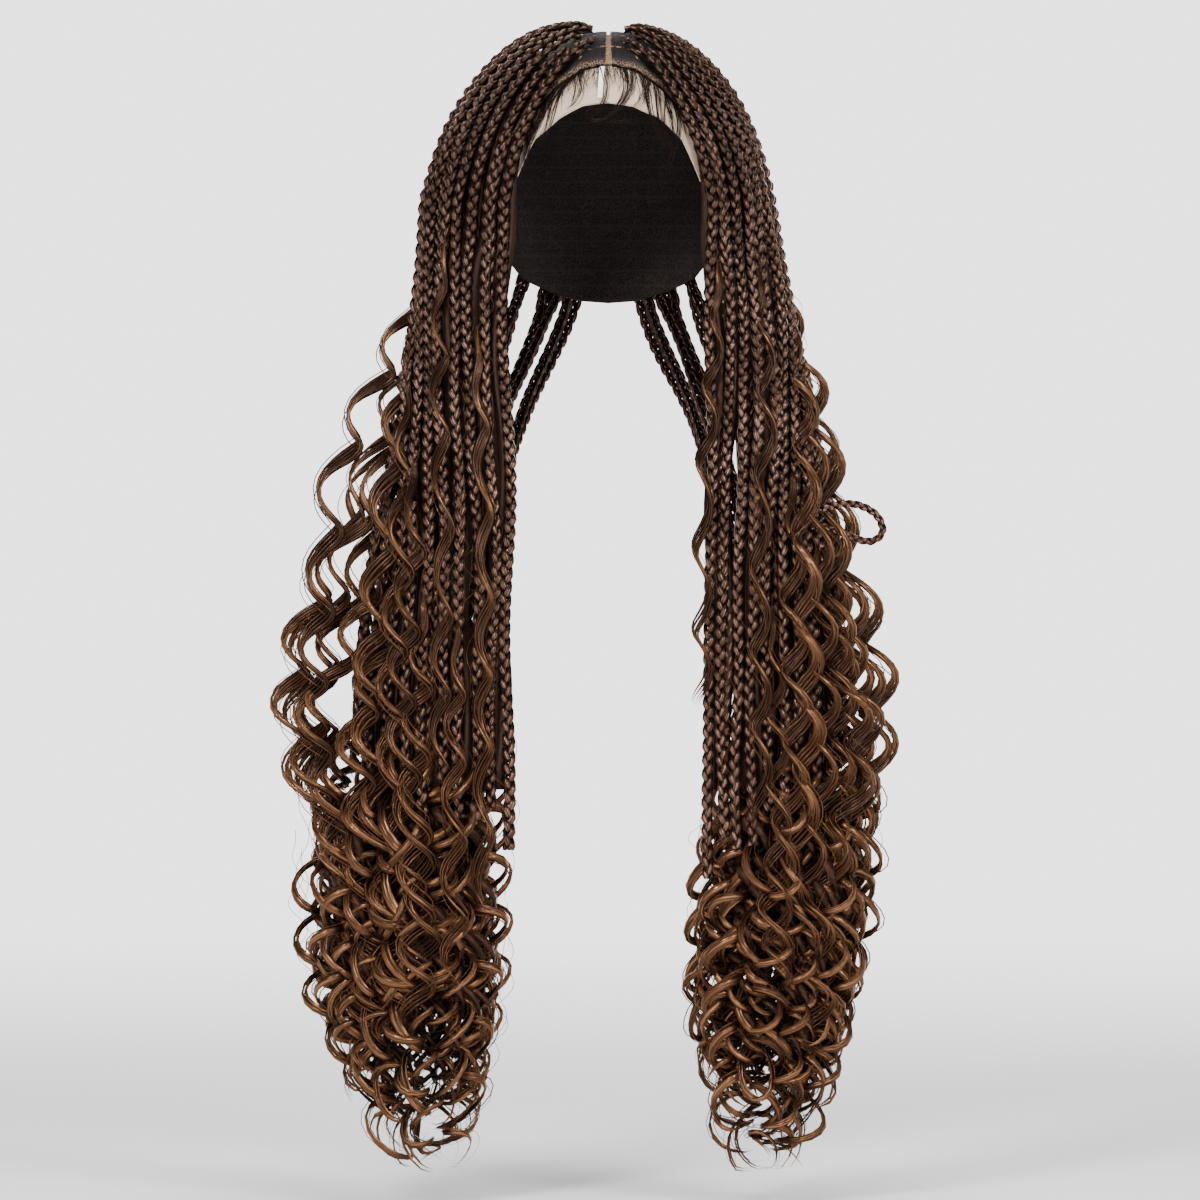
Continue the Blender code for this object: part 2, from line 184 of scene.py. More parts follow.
@dataclass(frozen=True)
class HollowForm:
    """The ellipsoid of the hollow inside the cap."""

    half_width: float = 76 * MM
    half_depth: float = 95 * MM
    half_height: float = 112 * MM

    def halves(self, grow: float) -> Array:
        """Returns the three half sizes, grown by a distance."""
        return np.array([self.half_width, self.half_depth, self.half_height]) + grow

    def point(self, azimuth: Array, polar: Array, grow: Array | float) -> Array:
        """Finds points over the dome.

        Args:
            azimuth: degrees round from the front.
            polar: degrees down from the top.
            grow: the distance outside the ellipsoid.

        Returns:
            The points, with their coordinates last.
        """
        around = np.radians(azimuth)
        down = np.radians(polar)
        return np.stack(
            [
                (self.half_width + grow) * np.sin(down) * np.sin(around),
                -(self.half_depth + grow) * np.sin(down) * np.cos(around),
                (self.half_height + grow) * np.cos(down) - self.half_height,
            ],
            axis=-1,
        )

    def scaled(self, points: Array, grow: float) -> Array:
        """Measures points in units of the grown ellipsoid, so that length 1 is on it."""
        return (points + np.array([0, 0, self.half_height])) / self.halves(grow)

    def placed(self, units: Array, grow: float) -> Array:
        """Turns such units back into points."""
        return units * self.halves(grow) - np.array([0, 0, self.half_height])

    def in_front(self, x: Array, z: Array, grow: float) -> Array:
        """Finds the points of the grown ellipsoid's front that show at a place across and a height.

        Args:
            x: how far across.
            z: the heights.
            grow: the distance outside the ellipsoid.

        Returns:
            The points.
        """
        wide, deep, high = self.halves(grow)
        rest = np.clip(1 - (x / wide) ** 2 - ((z + self.half_height) / high) ** 2, 0.01, 1)
        return np.stack([x, -deep * np.sqrt(rest), z], axis=-1)


@dataclass
class HairSheet:
    """The two sheets that the braids hang in, one on each side, read from a table of sections."""

    hollow: HollowForm
    # Depth in millimetres, then how far out and back five stations lie, from the front inner edge to the
    # back inner one
    sections: Table = (
        (100, (61, -68), (88, -44), (108, 4), (76, 78), (9, 103)),
        (160, (61, -73), (91, -54), (114, -4), (88, 64), (17, 96)),
        (230, (60, -84), (98, -72), (127, -26), (103, 22), (48, 58)),
        (300, (59, -94), (104, -92), (141, -60), (116, -24), (66, -12)),
        (380, (59, -99), (107, -101), (150, -74), (121, -48), (68, -45)),
        (480, (59, -100), (108, -103), (152, -77), (121, -52), (68, -50)),
    )
    # Depth, and the widths of the left and right sheets as shares of the table above
    widths: Table = (
        (100, 1.05, 0.78),
        (160, 1.04, 0.90),
        (230, 0.98, 0.94),
        (300, 0.97, 0.89),
        (380, 1.02, 0.89),
        (480, 1.04, 0.92),
    )
    front_root: Pair = (10 * MM, -38 * MM)
    back_root: Pair = (11 * MM, 77 * MM)
    crowding: float = 0.75
    dome_grow: float = 8.6 * MM
    root_dip: float = 2.6 * MM
    root_slope: float = 7 * MM
    depth_step: float = 5.0
    stations_across: int = 80
    fine_stations: int = 41
    dome_points: int = 25
    dome_inset: float = 0.9
    way_step: float = 18.0
    ease_depth: float = 90.0
    # The depth below which loose locks no longer follow the sheet
    last_depth: float = 470.0
    grids: dict[Side, Array] = field(default_factory=dict)

    def __post_init__(self) -> None:
        """Works out a grid of places for each side."""
        for side in Side:
            self.grids[side] = self.grid(side)

    def grid(self, side: Side) -> Array:
        """Works out where one sheet runs.

        Args:
            side: the sheet's side.

        Returns:
            Points by depth and by the place round the sheet.
        """
        depths = np.array([row[0] for row in self.sections], float)
        table = np.array([row[1:] for row in self.sections], float)
        widths = np.array(self.widths)
        column = 1 if side is Side.LEFT else 2
        wanted = np.arange(depths[0], depths[-1] + self.depth_step, self.depth_step)
        places = np.interp(wanted, depths, np.arange(len(depths))) / (len(depths) - 1)
        arounds = np.linspace(0, 1, self.stations_across + 1)
        crowded = arounds * (self.crowding + (1 - self.crowding) * arounds)
        rows = []
        for depth, place in zip(wanted, places):
            stations = np.stack([spline(table[:, i], np.array([place]))[0] for i in range(5)])
            fine = np.linspace(0, 1, self.fine_stations)
            lengths = along(spline(stations, fine))
            shares = np.interp(crowded * lengths[-1], lengths, fine)
            plan = spline(stations, shares)
            inner = stations[0, 0]
            share = np.interp(depth, widths[:, 0], widths[:, column])
            out = np.where(plan[:, 0] > inner, inner + (plan[:, 0] - inner) * share, plan[:, 0])
            rows.append(np.stack([side.value * out, plan[:, 1], np.full_like(out, -depth)], axis=1))
        return np.array(rows) * MM

    def point(self, side: Side, around: Array | float, depth: Array | float) -> Array:
        """Reads the sheet.

        Args:
            side: the sheet's side.
            around: from 0 at the front inner edge to 1 at the back inner one.
            depth: millimetres below the origin.

        Returns:
            The points, at their own depth.
        """
        around, depth = np.broadcast_arrays(np.asarray(around, float), np.asarray(depth, float))
        grid = self.grids[side]
        row = np.clip((depth - self.sections[0][0]) / self.depth_step, 0, len(grid) - 1.001)
        column = np.clip(around, 0, 1) * (self.stations_across - 0.001)
        i = row.astype(int)
        j = column.astype(int)
        a = (row - i)[..., None]
        b = (column - j)[..., None]
        upper = grid[i, j] * (1 - b) + grid[i, j + 1] * b
        lower = grid[i + 1, j] * (1 - b) + grid[i + 1, j + 1] * b
        found = upper * (1 - a) + lower * a
        found[..., 2] = -depth * MM
        return found

    def middle(self, side: Side, depth: Array) -> Array:
        """Returns the middle of a side's sheet at some depths."""
        return np.mean([self.point(side, around, depth) for around in np.linspace(0, 1, 9)], axis=0)

    def dome(self, side: Side, around: float, shares: Array, inset: float) -> Array:
        """Finds the way of a braid over the cap.

        Args:
            side: the braid's side.
            around: its place round the sheet.
            shares: how far down from the parting, 0 to 1.
            inset: how far the braid lies inside the sheet where it leaves the cap, as a share.

        Returns:
            The points of the way.
        """
        grow = self.dome_grow
        near = np.array(self.front_root)
        far = np.array(self.back_root)
        root = near + (far - near) * around
        flat = np.array([side.value * root[0], root[1], 0]) / self.hollow.halves(grow)
        flat[2] = math.sqrt(max(1 - flat[0] ** 2 - flat[1] ** 2, 0))
        hang = self.hollow.scaled(self.point(side, around, self.sections[0][0]), grow)
        reach = np.linalg.norm(hang)
        towards = hang / reach
        reach = 1 + (reach - 1) * (1 - inset)
        angle = math.acos(float(np.clip(flat @ towards, -1, 1)))
        first = np.sin((1 - shares) * angle)[:, None] * flat
        second = np.sin(shares * angle)[:, None] * towards
        units = (first + second) / math.sin(angle) * (1 + (reach - 1) * shares)[:, None]
        over = self.hollow.placed(units, grow)
        dip = self.root_dip * (1 - smooth_step(along(over) / self.root_slope))
        return over - unit(units) * dip[:, None]

    def way(self, side: Side, around: float, start: float, end: float, inset: float = 0.0) -> Array:
        """Works out a braid's whole way, over the cap and down.

        Args:
            side: the braid's side.
            around: its place round the sheet.
            start: its root's place down from the parting, as a share.
            end: the depth of its end in millimetres.
            inset: how far inside the sheet it lies, as a share of the way to the middle.

        Returns:
            The way's points.
        """
        over = self.dome(side, around, np.linspace(start, 1, self.dome_points), inset * self.dome_inset)
        top = self.sections[0][0]
        depths = np.linspace(top, end, max(int((end - top) / self.way_step), 3))[1:]
        down = self.point(side, around, depths)
        inward = self.middle(side, depths) - down
        eased = smooth_step((depths - top) / self.ease_depth)[:, None]
        first = over[-1] - self.point(side, around, top)
        down = down + inward * inset * eased + first * (1 - eased)
        down[:, 2] = -depths * MM
        return np.concatenate([over, down])


@dataclass
class StrandMesh:
    """Gathers many tubes into one mesh, each with its own tone and painted shade, its painted highlight and a
    map along and across it.
    """

    points: list[Array] = field(default_factory=list)
    corners: list[Array] = field(default_factory=list)
    sizes: list[Array] = field(default_factory=list)
    places: list[Array] = field(default_factory=list)
    tints: list[Array] = field(default_factory=list)
    gleams: list[Array] = field(default_factory=list)
    count: int = 0
    # How far its tint moves a tube's map, so that no two show the same fibres
    map_shift: float = 0.37
    # A direction that no strand runs along for long
    guide: Triple = (0.31, 0.93, 0.17)

    def tube(
        self,
        path: Array,
        wide: Array,
        thin: Array,
        widths: Array,
        thicks: Array,
        sides: int,
        tint: Array | float,
        gleam: Array | float = 0.5,
    ) -> None:
        """Adds one closed tube with an oval section.

        Args:
            path: its centre line.
            wide: the direction of the section's width at each point.
            thin: the direction of its thickness.
            widths: half its width at each point.
            thicks: half its thickness.
            sides: how many sides it has.
            tint: its own tone and painted shade, 0 to 1, for all of it or at each point.
            gleam: how much painted highlight its fibres get, 0 to 1, in the same way.
        """
        turns = 2 * np.pi * np.arange(sides) / sides
        ring = (
            path[:, None]
            + wide[:, None] * (np.cos(turns) * widths[:, None])[..., None]
            + thin[:, None] * (np.sin(turns) * thicks[:, None])[..., None]
        )
        rows = len(path)
        index = self.count + np.arange(rows * sides).reshape(rows, sides)
        following = np.roll(index, -1, axis=1)
        quads = np.stack([index[:-1], following[:-1], following[1:], index[1:]], axis=-1)
        lengths = along(path) + self.map_shift * float(np.mean(tint))
        shape = (rows - 1, sides)
        low = np.broadcast_to(lengths[:-1, None], shape)
        high = np.broadcast_to(lengths[1:, None], shape)
        left = np.broadcast_to(np.arange(sides) / sides, shape)
        right = left + 1 / sides
        pairs = ((left, low), (right, low), (right, high), (left, high))
        maps = np.stack([np.stack(pair, -1) for pair in pairs], axis=2)
        self.points.append(ring.reshape(-1, 3))
        self.corners.append(quads.reshape(-1))
        self.sizes.append(np.full((rows - 1) * sides, 4))
        self.places.append(maps.reshape(-1, 2))
        for ends, order in ((index[0], -1), (index[-1], 1)):
            self.corners.append(ends[::order])
            self.sizes.append(np.array([sides]))
            place = lengths[0] if order == -1 else lengths[-1]
            self.places.append(np.stack([np.arange(sides) / sides, np.full(sides, place)], axis=1))
        self.tints.append(np.repeat(np.broadcast_to(tint, rows), sides))
        self.gleams.append(np.repeat(np.broadcast_to(gleam, rows), sides))
        self.count += rows * sides

    def round_tube(self, path: Array, radii: Array, sides: int, tint: float) -> None:
        """Adds a round tube, with no need to say how it's turned.

        Args:
            path: its centre line.
            radii: its radius at each point.
            sides: how many sides it has.
            tint: its own shade, 0 to 1.
        """
        forward = tangents(path)
        wide = unit(np.cross(forward, np.array(self.guide)))
        self.tube(path, wide, np.cross(forward, wide), radii, radii, sides, tint)

    def build(self, name: str, material: Material) -> Piece:
        """Makes the piece.

        Args:
            name: the piece's name.
            material: its finish.

        Returns:
            The new object, in the scene.
        """
        made = mesh_piece(
            name,
            np.concatenate(self.points),
            np.concatenate(self.corners),
            np.concatenate(self.sizes),
            material,
        )
        put_map(made.data, np.concatenate(self.places))
        put_value(made.data, TONE_AND_PAINTED_SHADE, np.concatenate(self.tints))
        put_value(made.data, PAINTED_HIGHLIGHT, np.concatenate(self.gleams))
        return made


def mesh_piece(
    name: str, points: Array, corners: Array, sizes: Array, material: Material
) -> Piece:
    """Makes an object from arrays.

    Args:
        name: the object's name.
        points: its points.
        corners: the points of its faces, one after another.
        sizes: how many corners each face has.
        material: its finish.

    Returns:
        The new object, in the scene and smooth shaded.
    """
    mesh = bpy.data.meshes.new(name)
    mesh.vertices.add(len(points))
    mesh.vertices.foreach_set("co", points.astype(np.float32).ravel())
    mesh.loops.add(len(corners))
    mesh.loops.foreach_set("vertex_index", corners.astype(np.int32))
    mesh.polygons.add(len(sizes))
    starts = np.concatenate([[0], np.cumsum(sizes)[:-1]])
    mesh.polygons.foreach_set("loop_start", starts.astype(np.int32))
    mesh.update(calc_edges=True)
    mesh.shade_smooth()
    mesh.materials.append(material)
    made = bpy.data.objects.new(name, mesh)
    bpy.context.scene.collection.objects.link(made)
    return made


def put_map(mesh: bpy.types.Mesh, places: Array) -> None:
    """Gives a mesh its map along and across the strands."""
    layer = mesh.uv_layers.new(name=STRAND_MAP)
    layer.uv.foreach_set("vector", places.astype(np.float32).ravel())


def put_value(mesh: bpy.types.Mesh, name: str, values: Array) -> None:
    """Gives a mesh a number for each point."""
    mesh.attributes.new(name, "FLOAT", "POINT").data.foreach_set("value", values.astype(np.float32))


def shell(outside: Array, inside: Array, order: int = 1) -> tuple[Array, Array]:
    """Joins an outer and an inner grid of points to a closed shell.

    Args:
        outside: the outer grid.
        inside: the inner grid, with as many points.
        order: 1, or -1 to turn the outer faces over.

    Returns:
        The shell's points, a row each, and its faces of four corners.
    """
    total = outside[..., 0].size
    index = np.arange(total).reshape(outside.shape[:2])
    outer = np.stack([index[:-1, :-1], index[:-1, 1:], index[1:, 1:], index[1:, :-1]], -1)[..., ::order]
    quads = [outer.reshape(-1, 4), (outer + total)[..., ::-1].reshape(-1, 4)]
    for edge in (index[0], index[-1][::-1], index[:, 0][::-1], index[:, -1]):
        quads.append(np.stack([edge[:-1], edge[1:], edge[1:] + total, edge[:-1] + total], -1)[:, ::order])
    return np.concatenate([outside.reshape(-1, 3), inside.reshape(-1, 3)]), np.concatenate(quads)


def report(piece: Piece) -> None:
    """Writes a piece and its size to the log."""
    LOG.info("%s: %d triangles", piece.name, sum(len(face.vertices) - 2 for face in piece.data.polygons))


@dataclass(frozen=True)
class NodeBench:
    """Adds shader nodes to one material's tree."""

    tree: bpy.types.NodeTree

    def add(self, kind: str, **settings: object) -> Node:
        """Adds a node and sets its own properties."""
        node = self.tree.nodes.new(kind)
        for name, value in settings.items():
            setattr(node, name, value)
        return node

    def link(self, source: Socket, target: Socket) -> None:
        """Joins two sockets."""
        self.tree.links.new(source, target)

    def fill(self, socket: Socket, value: object) -> None:
        """Links a socket to another one, or sets its value.

        Args:
            socket: the socket.
            value: another socket, a number or a colour.
        """
        if isinstance(value, Socket):
            self.link(value, socket)
        elif isinstance(value, tuple) and len(value) == 3 and len(socket.default_value) == 4:
            socket.default_value = (*value, 1)
        else:
            socket.default_value = value

    def feed(self, node: Node, values: dict[str, object]) -> None:
        """Links or sets some inputs of a node by their names."""
        for name, value in values.items():
            self.fill(node.inputs[name], value)

    def math(self, operation: str, first: object, second: object = 0.0) -> Socket:
        """Works something out from two numbers or sockets.

        Args:
            operation: what is done with them.
            first: a number or a socket.
            second: another one.

        Returns:
            The result's socket.
        """
        node = self.add("ShaderNodeMath", operation=operation)
        self.fill(node.inputs[0], first)
        self.fill(node.inputs[1], second)
        return node.outputs[0]

    def ramp(self, value: object, low: float, high: float, to: Pair = (0.0, 1.0)) -> Socket:
        """Maps a range of a value to another range, held at its ends.

        Args:
            value: the value.
            low: where its range starts.
            high: where it ends.
            to: what the two ends become.

        Returns:
            The result's socket.
        """
        node = self.add("ShaderNodeMapRange", interpolation_type="SMOOTHSTEP")
        limits = {"From Min": low, "From Max": high, "To Min": to[0], "To Max": to[1]}
        self.feed(node, {"Value": value, **limits})
        return node.outputs["Result"]

    def mix(self, share: object, first: object, second: object, how: Blend = Blend.MIX) -> Socket:
        """Mixes two colours.

        Args:
            share: how much of the second shows.
            first: a colour or a socket.
            second: another one, over the first.
            how: how it goes over it.

        Returns:
            The result's socket.
        """
        node = self.add("ShaderNodeMix", data_type="RGBA", blend_type=how.value)
        for place, value in ((0, share), (6, first), (7, second)):
            self.fill(node.inputs[place], value)
        return node.outputs[2]

    def noise(self, place: Socket, scale: float, detail: float) -> Socket:
        """Adds a noise at a place.

        Args:
            place: where it is read.
            scale: how fine it is.
            detail: how many finer ones it holds.

        Returns:
            The noise's socket.
        """
        node = self.add("ShaderNodeTexNoise")
        self.feed(node, {"Vector": place, "Scale": scale, "Detail": detail, "Roughness": 0.6})
        return node.outputs["Fac"]

    def cells(self, scale: float, randomness: float = 1.0) -> Socket:
        """Adds the small cells of a net, and reads how far each place is from a thread.

        Args:
            scale: how fine the net is.
            randomness: how uneven its cells are.

        Returns:
            The distance's socket.
        """
        node = self.add("ShaderNodeTexVoronoi", feature="DISTANCE_TO_EDGE")
        self.feed(node, {"Vector": self.object_place(), "Scale": scale, "Randomness": randomness})
        return node.outputs["Distance"]

    def strand_place(self, across: float, lengthwise: float) -> Socket:
        """Reads the strand map, stretched so that a noise on it becomes fibres.

        Args:
            across: how fine the fibres are.
            lengthwise: how much a fibre changes along its way.

        Returns:
            The place's socket.
        """
        source = self.add("ShaderNodeUVMap", uv_map=STRAND_MAP)
        scale = self.add("ShaderNodeVectorMath", operation="MULTIPLY")
        self.link(source.outputs["UV"], scale.inputs[0])
        scale.inputs[1].default_value = (across, lengthwise, 1.0)
        return scale.outputs[0]

    def object_place(self) -> Socket:
        """Reads the place on the wig in metres."""
        return self.add("ShaderNodeTexCoord").outputs["Object"]

    def part(self, axis: str) -> Socket:
        """Reads one coordinate of the place on the wig in metres.

        Args:
            axis: its letter.

        Returns:
            Its socket.
        """
        parts = self.add("ShaderNodeSeparateXYZ")
        self.link(self.object_place(), parts.inputs[0])
        return parts.outputs[axis]

    def attribute(self, name: str) -> Socket:
        """Reads a number that the mesh holds for each point."""
        return self.add("ShaderNodeAttribute", attribute_name=name).outputs["Fac"]

    def bump(self, height: Socket, strength: float, distance: float) -> Socket:
        """Turns a height into a bump.

        Args:
            height: the height's socket.
            strength: how strong the bump is.
            distance: how high it is in metres.

        Returns:
            The normal's socket.
        """
        node = self.add("ShaderNodeBump")
        self.feed(node, {"Strength": strength, "Distance": distance, "Height": height})
        return node.outputs["Normal"]


def fresh_material(name: str) -> tuple[Material, NodeBench, Node]:
    """Makes a material with one Principled shader.

    Args:
        name: the material's name.

    Returns:
        The material, a bench for its nodes and its shader.
    """
    material = bpy.data.materials.new(name)
    material.use_nodes = True
    return material, NodeBench(material.node_tree), material.node_tree.nodes["Principled BSDF"]


@dataclass(frozen=True)
class HairFinish:
    """Glossy hair: fibres along each strand, darker at the roots and lighter towards the tips, with painted
    highlights on the fibres and painted shade mixed with each strand's own tone.
    """

    name: str
    root: Colour
    tip: Colour
    # Colour of the painted highlights
    glint: Colour
    # Dark colour for each strand's own darker tone and for painted shade
    shade: Colour
    root_height: float = -0.05
    tip_height: float = -0.55
    fibres: float = 14.0
    lengthwise: float = 22.0
    # How far the fibres are lightened by painted highlight at most
    glint_share: float = 0.5
    # How much of the painted highlight is left at the top of the wig
    root_gleam: float = 1.0
    roughness: float = 0.36
    gloss: float = 0.35
    metal: float = 0.5
    sheen: Colour = (0.85, 0.56, 0.42)
    bump_strength: float = 0.3
    bump_distance: float = 0.12 * MM

    def make(self) -> Material:
        """Makes the material."""
        material, bench, shader = fresh_material(self.name)
        fibres = bench.noise(bench.strand_place(self.fibres, self.lengthwise), 1.0, 3.0)
        fine = bench.noise(bench.strand_place(self.fibres * 2.6, self.lengthwise * 0.7), 1.0, 2.0)
        fall = bench.ramp(bench.part("Z"), self.root_height, self.tip_height)
        # Painted highlight from the mesh's numbers, weaker near the top of the wig
        lower = bench.ramp(bench.part("Z"), -0.02, -0.2, (self.root_gleam, 1.0))
        gleam = bench.math("MULTIPLY", bench.ramp(bench.attribute(PAINTED_HIGHLIGHT), 0.0, 1.0, (0.06, 1.0)), lower)
        body = bench.mix(fall, self.root, self.tip)
        # Each strand's own tone and its painted shade, both towards the dark colour
        tone_and_painted_shade_mix = bench.mix(bench.ramp(bench.attribute(TONE_AND_PAINTED_SHADE), 0.0, 1.0, (0.0, 0.95)), body, self.shade)
        streak = bench.ramp(fibres, 0.42, 0.7, (0.04, self.glint_share))
        # Painted highlight: fibre streaks lightened towards the highlight colour
        with_painted_highlight = bench.mix(bench.math("MULTIPLY", streak, gleam), tone_and_painted_shade_mix, self.glint)
        dark = bench.ramp(fine, 0.48, 0.3, (0.0, 0.6))
        height = bench.math("ADD", fibres, bench.math("MULTIPLY", fine, 0.6))
        bench.feed(shader, {
            "Base Color": bench.mix(dark, with_painted_highlight, tuple(0.35 * part for part in self.root)),
            "Roughness": bench.ramp(fine, 0.3, 0.7, (self.roughness - 0.07, self.roughness + 0.12)),
            "Normal": bench.bump(height, self.bump_strength, self.bump_distance),
            "Metallic": self.metal,
            "Specular IOR Level": self.gloss,
            "Specular Tint": self.sheen,
        })
        return material


@dataclass(frozen=True)
class CrownFinish:
    """Near-black hair combed flat, with tan net showing along its partings."""

    name: str = "crown_hair_combed"
    hair: Colour = (0.0035, 0.0024, 0.0026)
    light: Colour = (0.016, 0.010, 0.009)
    scalp: Colour = (0.24, 0.15, 0.095)

    def make(self) -> Material:
        """Makes the material."""
        material, bench, shader = fresh_material(self.name)
        fibres = bench.noise(bench.strand_place(420.0, 14.0), 1.0, 3.0)
        stubble = bench.ramp(bench.noise(bench.object_place(), 1300.0, 2.0), 0.4, 0.62, (0.0, 0.55))
        hair = bench.mix(bench.ramp(fibres, 0.45, 0.75), self.hair, self.light)
        scalp = bench.ramp(bench.math("SUBTRACT", bench.attribute(PARTING), stubble), 0.1, 0.45)
        bench.feed(shader, {
            "Base Color": bench.mix(scalp, hair, self.scalp),
            "Roughness": bench.ramp(scalp, 0.0, 1.0, (0.52, 0.8)),
            "Specular IOR Level": 0.1,
            "Normal": bench.bump(fibres, 0.6, 0.5 * MM),
        })
        return material


@dataclass(frozen=True)
class NetFinish:
    """Fine net: a small regular mesh with a colour that shows through between its threads."""

    name: str
    thread: Colour
    between: Colour
    scale: float
    roughness: float = 0.75
    knots: Colour = (0.02, 0.014, 0.012)
    knot_share: float = 0.0

    def make(self) -> Material:
        """Makes the material."""
        material, bench, shader = fresh_material(self.name)
        place = bench.object_place()
        thread = bench.ramp(bench.cells(self.scale, 0.35), 0.18, 0.05)
        cloud = bench.ramp(bench.noise(place, 45.0, 3.0), 0.3, 0.75, (0.0, 0.35))
        base = bench.mix(thread, self.between, self.thread)
        shaded = bench.mix(cloud, base, self.between, Blend.MULTIPLY)
        specks = bench.ramp(bench.noise(place, 1100.0, 1.0), 0.54, 0.64, (0.0, self.knot_share))
        near = bench.math("MULTIPLY", specks, bench.attribute(PARTING))
        bench.feed(shader, {
            "Base Color": bench.mix(near, shaded, self.knots),
            "Roughness": self.roughness,
            "Normal": bench.bump(thread, 0.5, 0.25 * MM),
        })
        return material


@dataclass(frozen=True)
class CapFinish:
    """The dark stretch cap, with the tan net of the scalp line along its middle."""

    name: str = "stretch_cap"
    dark: Colour = (0.006, 0.0045, 0.0042)
    thread: Colour = (0.017, 0.0125, 0.011)
    scalp: Colour = (0.27, 0.17, 0.105)
    scale: float = 520.0
    scalp_half_width: float = 3.4 * MM
    weft_spacing: float = 9 * MM

    def make(self) -> Material:
        """Makes the material."""
        material, bench, shader = fresh_material(self.name)
        high = bench.part("Z")
        thread = bench.ramp(bench.cells(self.scale), 0.2, 0.06)
        wefts = bench.math("SINE", bench.math("MULTIPLY", high, 2 * math.pi / self.weft_spacing))
        band = bench.ramp(wefts, 0.75, 0.98, (0.0, 0.8))
        cloth = bench.mix(band, bench.mix(thread, self.dark, self.thread), self.thread)
        middle = bench.ramp(bench.math("ABSOLUTE", bench.part("X")), self.scalp_half_width, 0.4 * MM)
        top = bench.ramp(high, -0.035, -0.02)
        grain = bench.ramp(bench.noise(bench.object_place(), 700.0, 2.0), 0.35, 0.65, (0.55, 1.0))
        scalp = bench.math("MULTIPLY", bench.math("MULTIPLY", middle, top), grain)
        height = bench.math("ADD", thread, bench.math("MULTIPLY", wefts, 0.5))
        bench.feed(shader, {
            "Base Color": bench.mix(scalp, cloth, self.scalp),
            "Roughness": 0.85,
            "Specular IOR Level": 0.12,
            "Normal": bench.bump(height, 0.6, 0.4 * MM),
        })
        return material


@dataclass(frozen=True)
class ClearFinish:
    """Whitish clear plastic, a little cloudy."""

    name: str = "clear_strip"
    thin: Colour = (0.5, 0.49, 0.47)
    thick: Colour = (0.8, 0.79, 0.78)

    def make(self) -> Material:
        """Makes the material."""
        material, bench, shader = fresh_material(self.name)
        cloud = bench.noise(bench.object_place(), 420.0, 2.0)
        bench.feed(shader, {
            "Base Color": bench.mix(cloud, self.thin, self.thick),
            "Normal": bench.bump(cloud, 0.3, 0.3 * MM),
            "Roughness": 0.22,
            "Alpha": bench.ramp(bench.part("Z"), -0.026, -0.044, (0.8, 0.34)),
        })
        return material


@dataclass(frozen=True)
class FloorFinish:
    """A plain pale floor that fades out far from the wig."""

    name: str = "pale_floor"
    colour: Colour = (0.9, 0.9, 0.905)
    fade_start: float = 0.75
    fade_end: float = 2.9

    def make(self) -> Material:
        """Makes the material."""
        material, bench, shader = fresh_material(self.name)
        cloud = bench.noise(bench.object_place(), 3.0, 3.0)
        away = bench.add("ShaderNodeVectorMath", operation="LENGTH")
        bench.link(bench.object_place(), away.inputs[0])
        bench.feed(shader, {
            "Base Color": bench.mix(cloud, self.colour, tuple(0.97 * part for part in self.colour)),
            "Roughness": 0.8,
            "Alpha": bench.ramp(away.outputs["Value"], self.fade_start, self.fade_end, (1.0, 0.0)),
        })
        return material


# Each hair finish holds a colour for painted highlights and a dark colour for its own tone and painted shade
BRAID_HAIR = HairFinish(
    name="braid_hair",
    root=(0.0062, 0.0027, 0.0018),
    tip=(0.020, 0.0068, 0.0028),
    glint=(0.46, 0.265, 0.195),
    shade=(0.0016, 0.0006, 0.0004),
    glint_share=0.5,
    root_gleam=0.45,
    roughness=0.27,
)
CURL_HAIR = HairFinish(
    name="curl_hair",
    root=(0.0125, 0.0047, 0.0023),
    tip=(0.044, 0.0145, 0.0056),
    glint=(0.46, 0.225, 0.108),
    shade=(0.0045, 0.0016, 0.0008),
    root_height=-0.15,
    tip_height=-0.62,
    fibres=12.0,
    glint_share=0.5,
    roughness=0.26,
)
INNER_HAIR = HairFinish(
    name="inner_hair",
    root=(0.008, 0.0045, 0.004),
    tip=(0.03, 0.0125, 0.0075),
    glint=(0.08, 0.038, 0.022),
    shade=(0.006, 0.003, 0.0024),
    root_height=-0.2,
    tip_height=-0.62,
    fibres=7.0,
    glint_share=0.35,
    roughness=0.42,
    gloss=0.2,
    metal=0.2,
)
FINE_DARK_HAIR = HairFinish(
    name="fine_dark_hair",
    root=(0.004, 0.0027, 0.0028),
    tip=(0.005, 0.0033, 0.0033),
    glint=(0.02, 0.015, 0.015),
    shade=(0.003, 0.002, 0.002),
    glint_share=0.2,
    gloss=0.25,
)


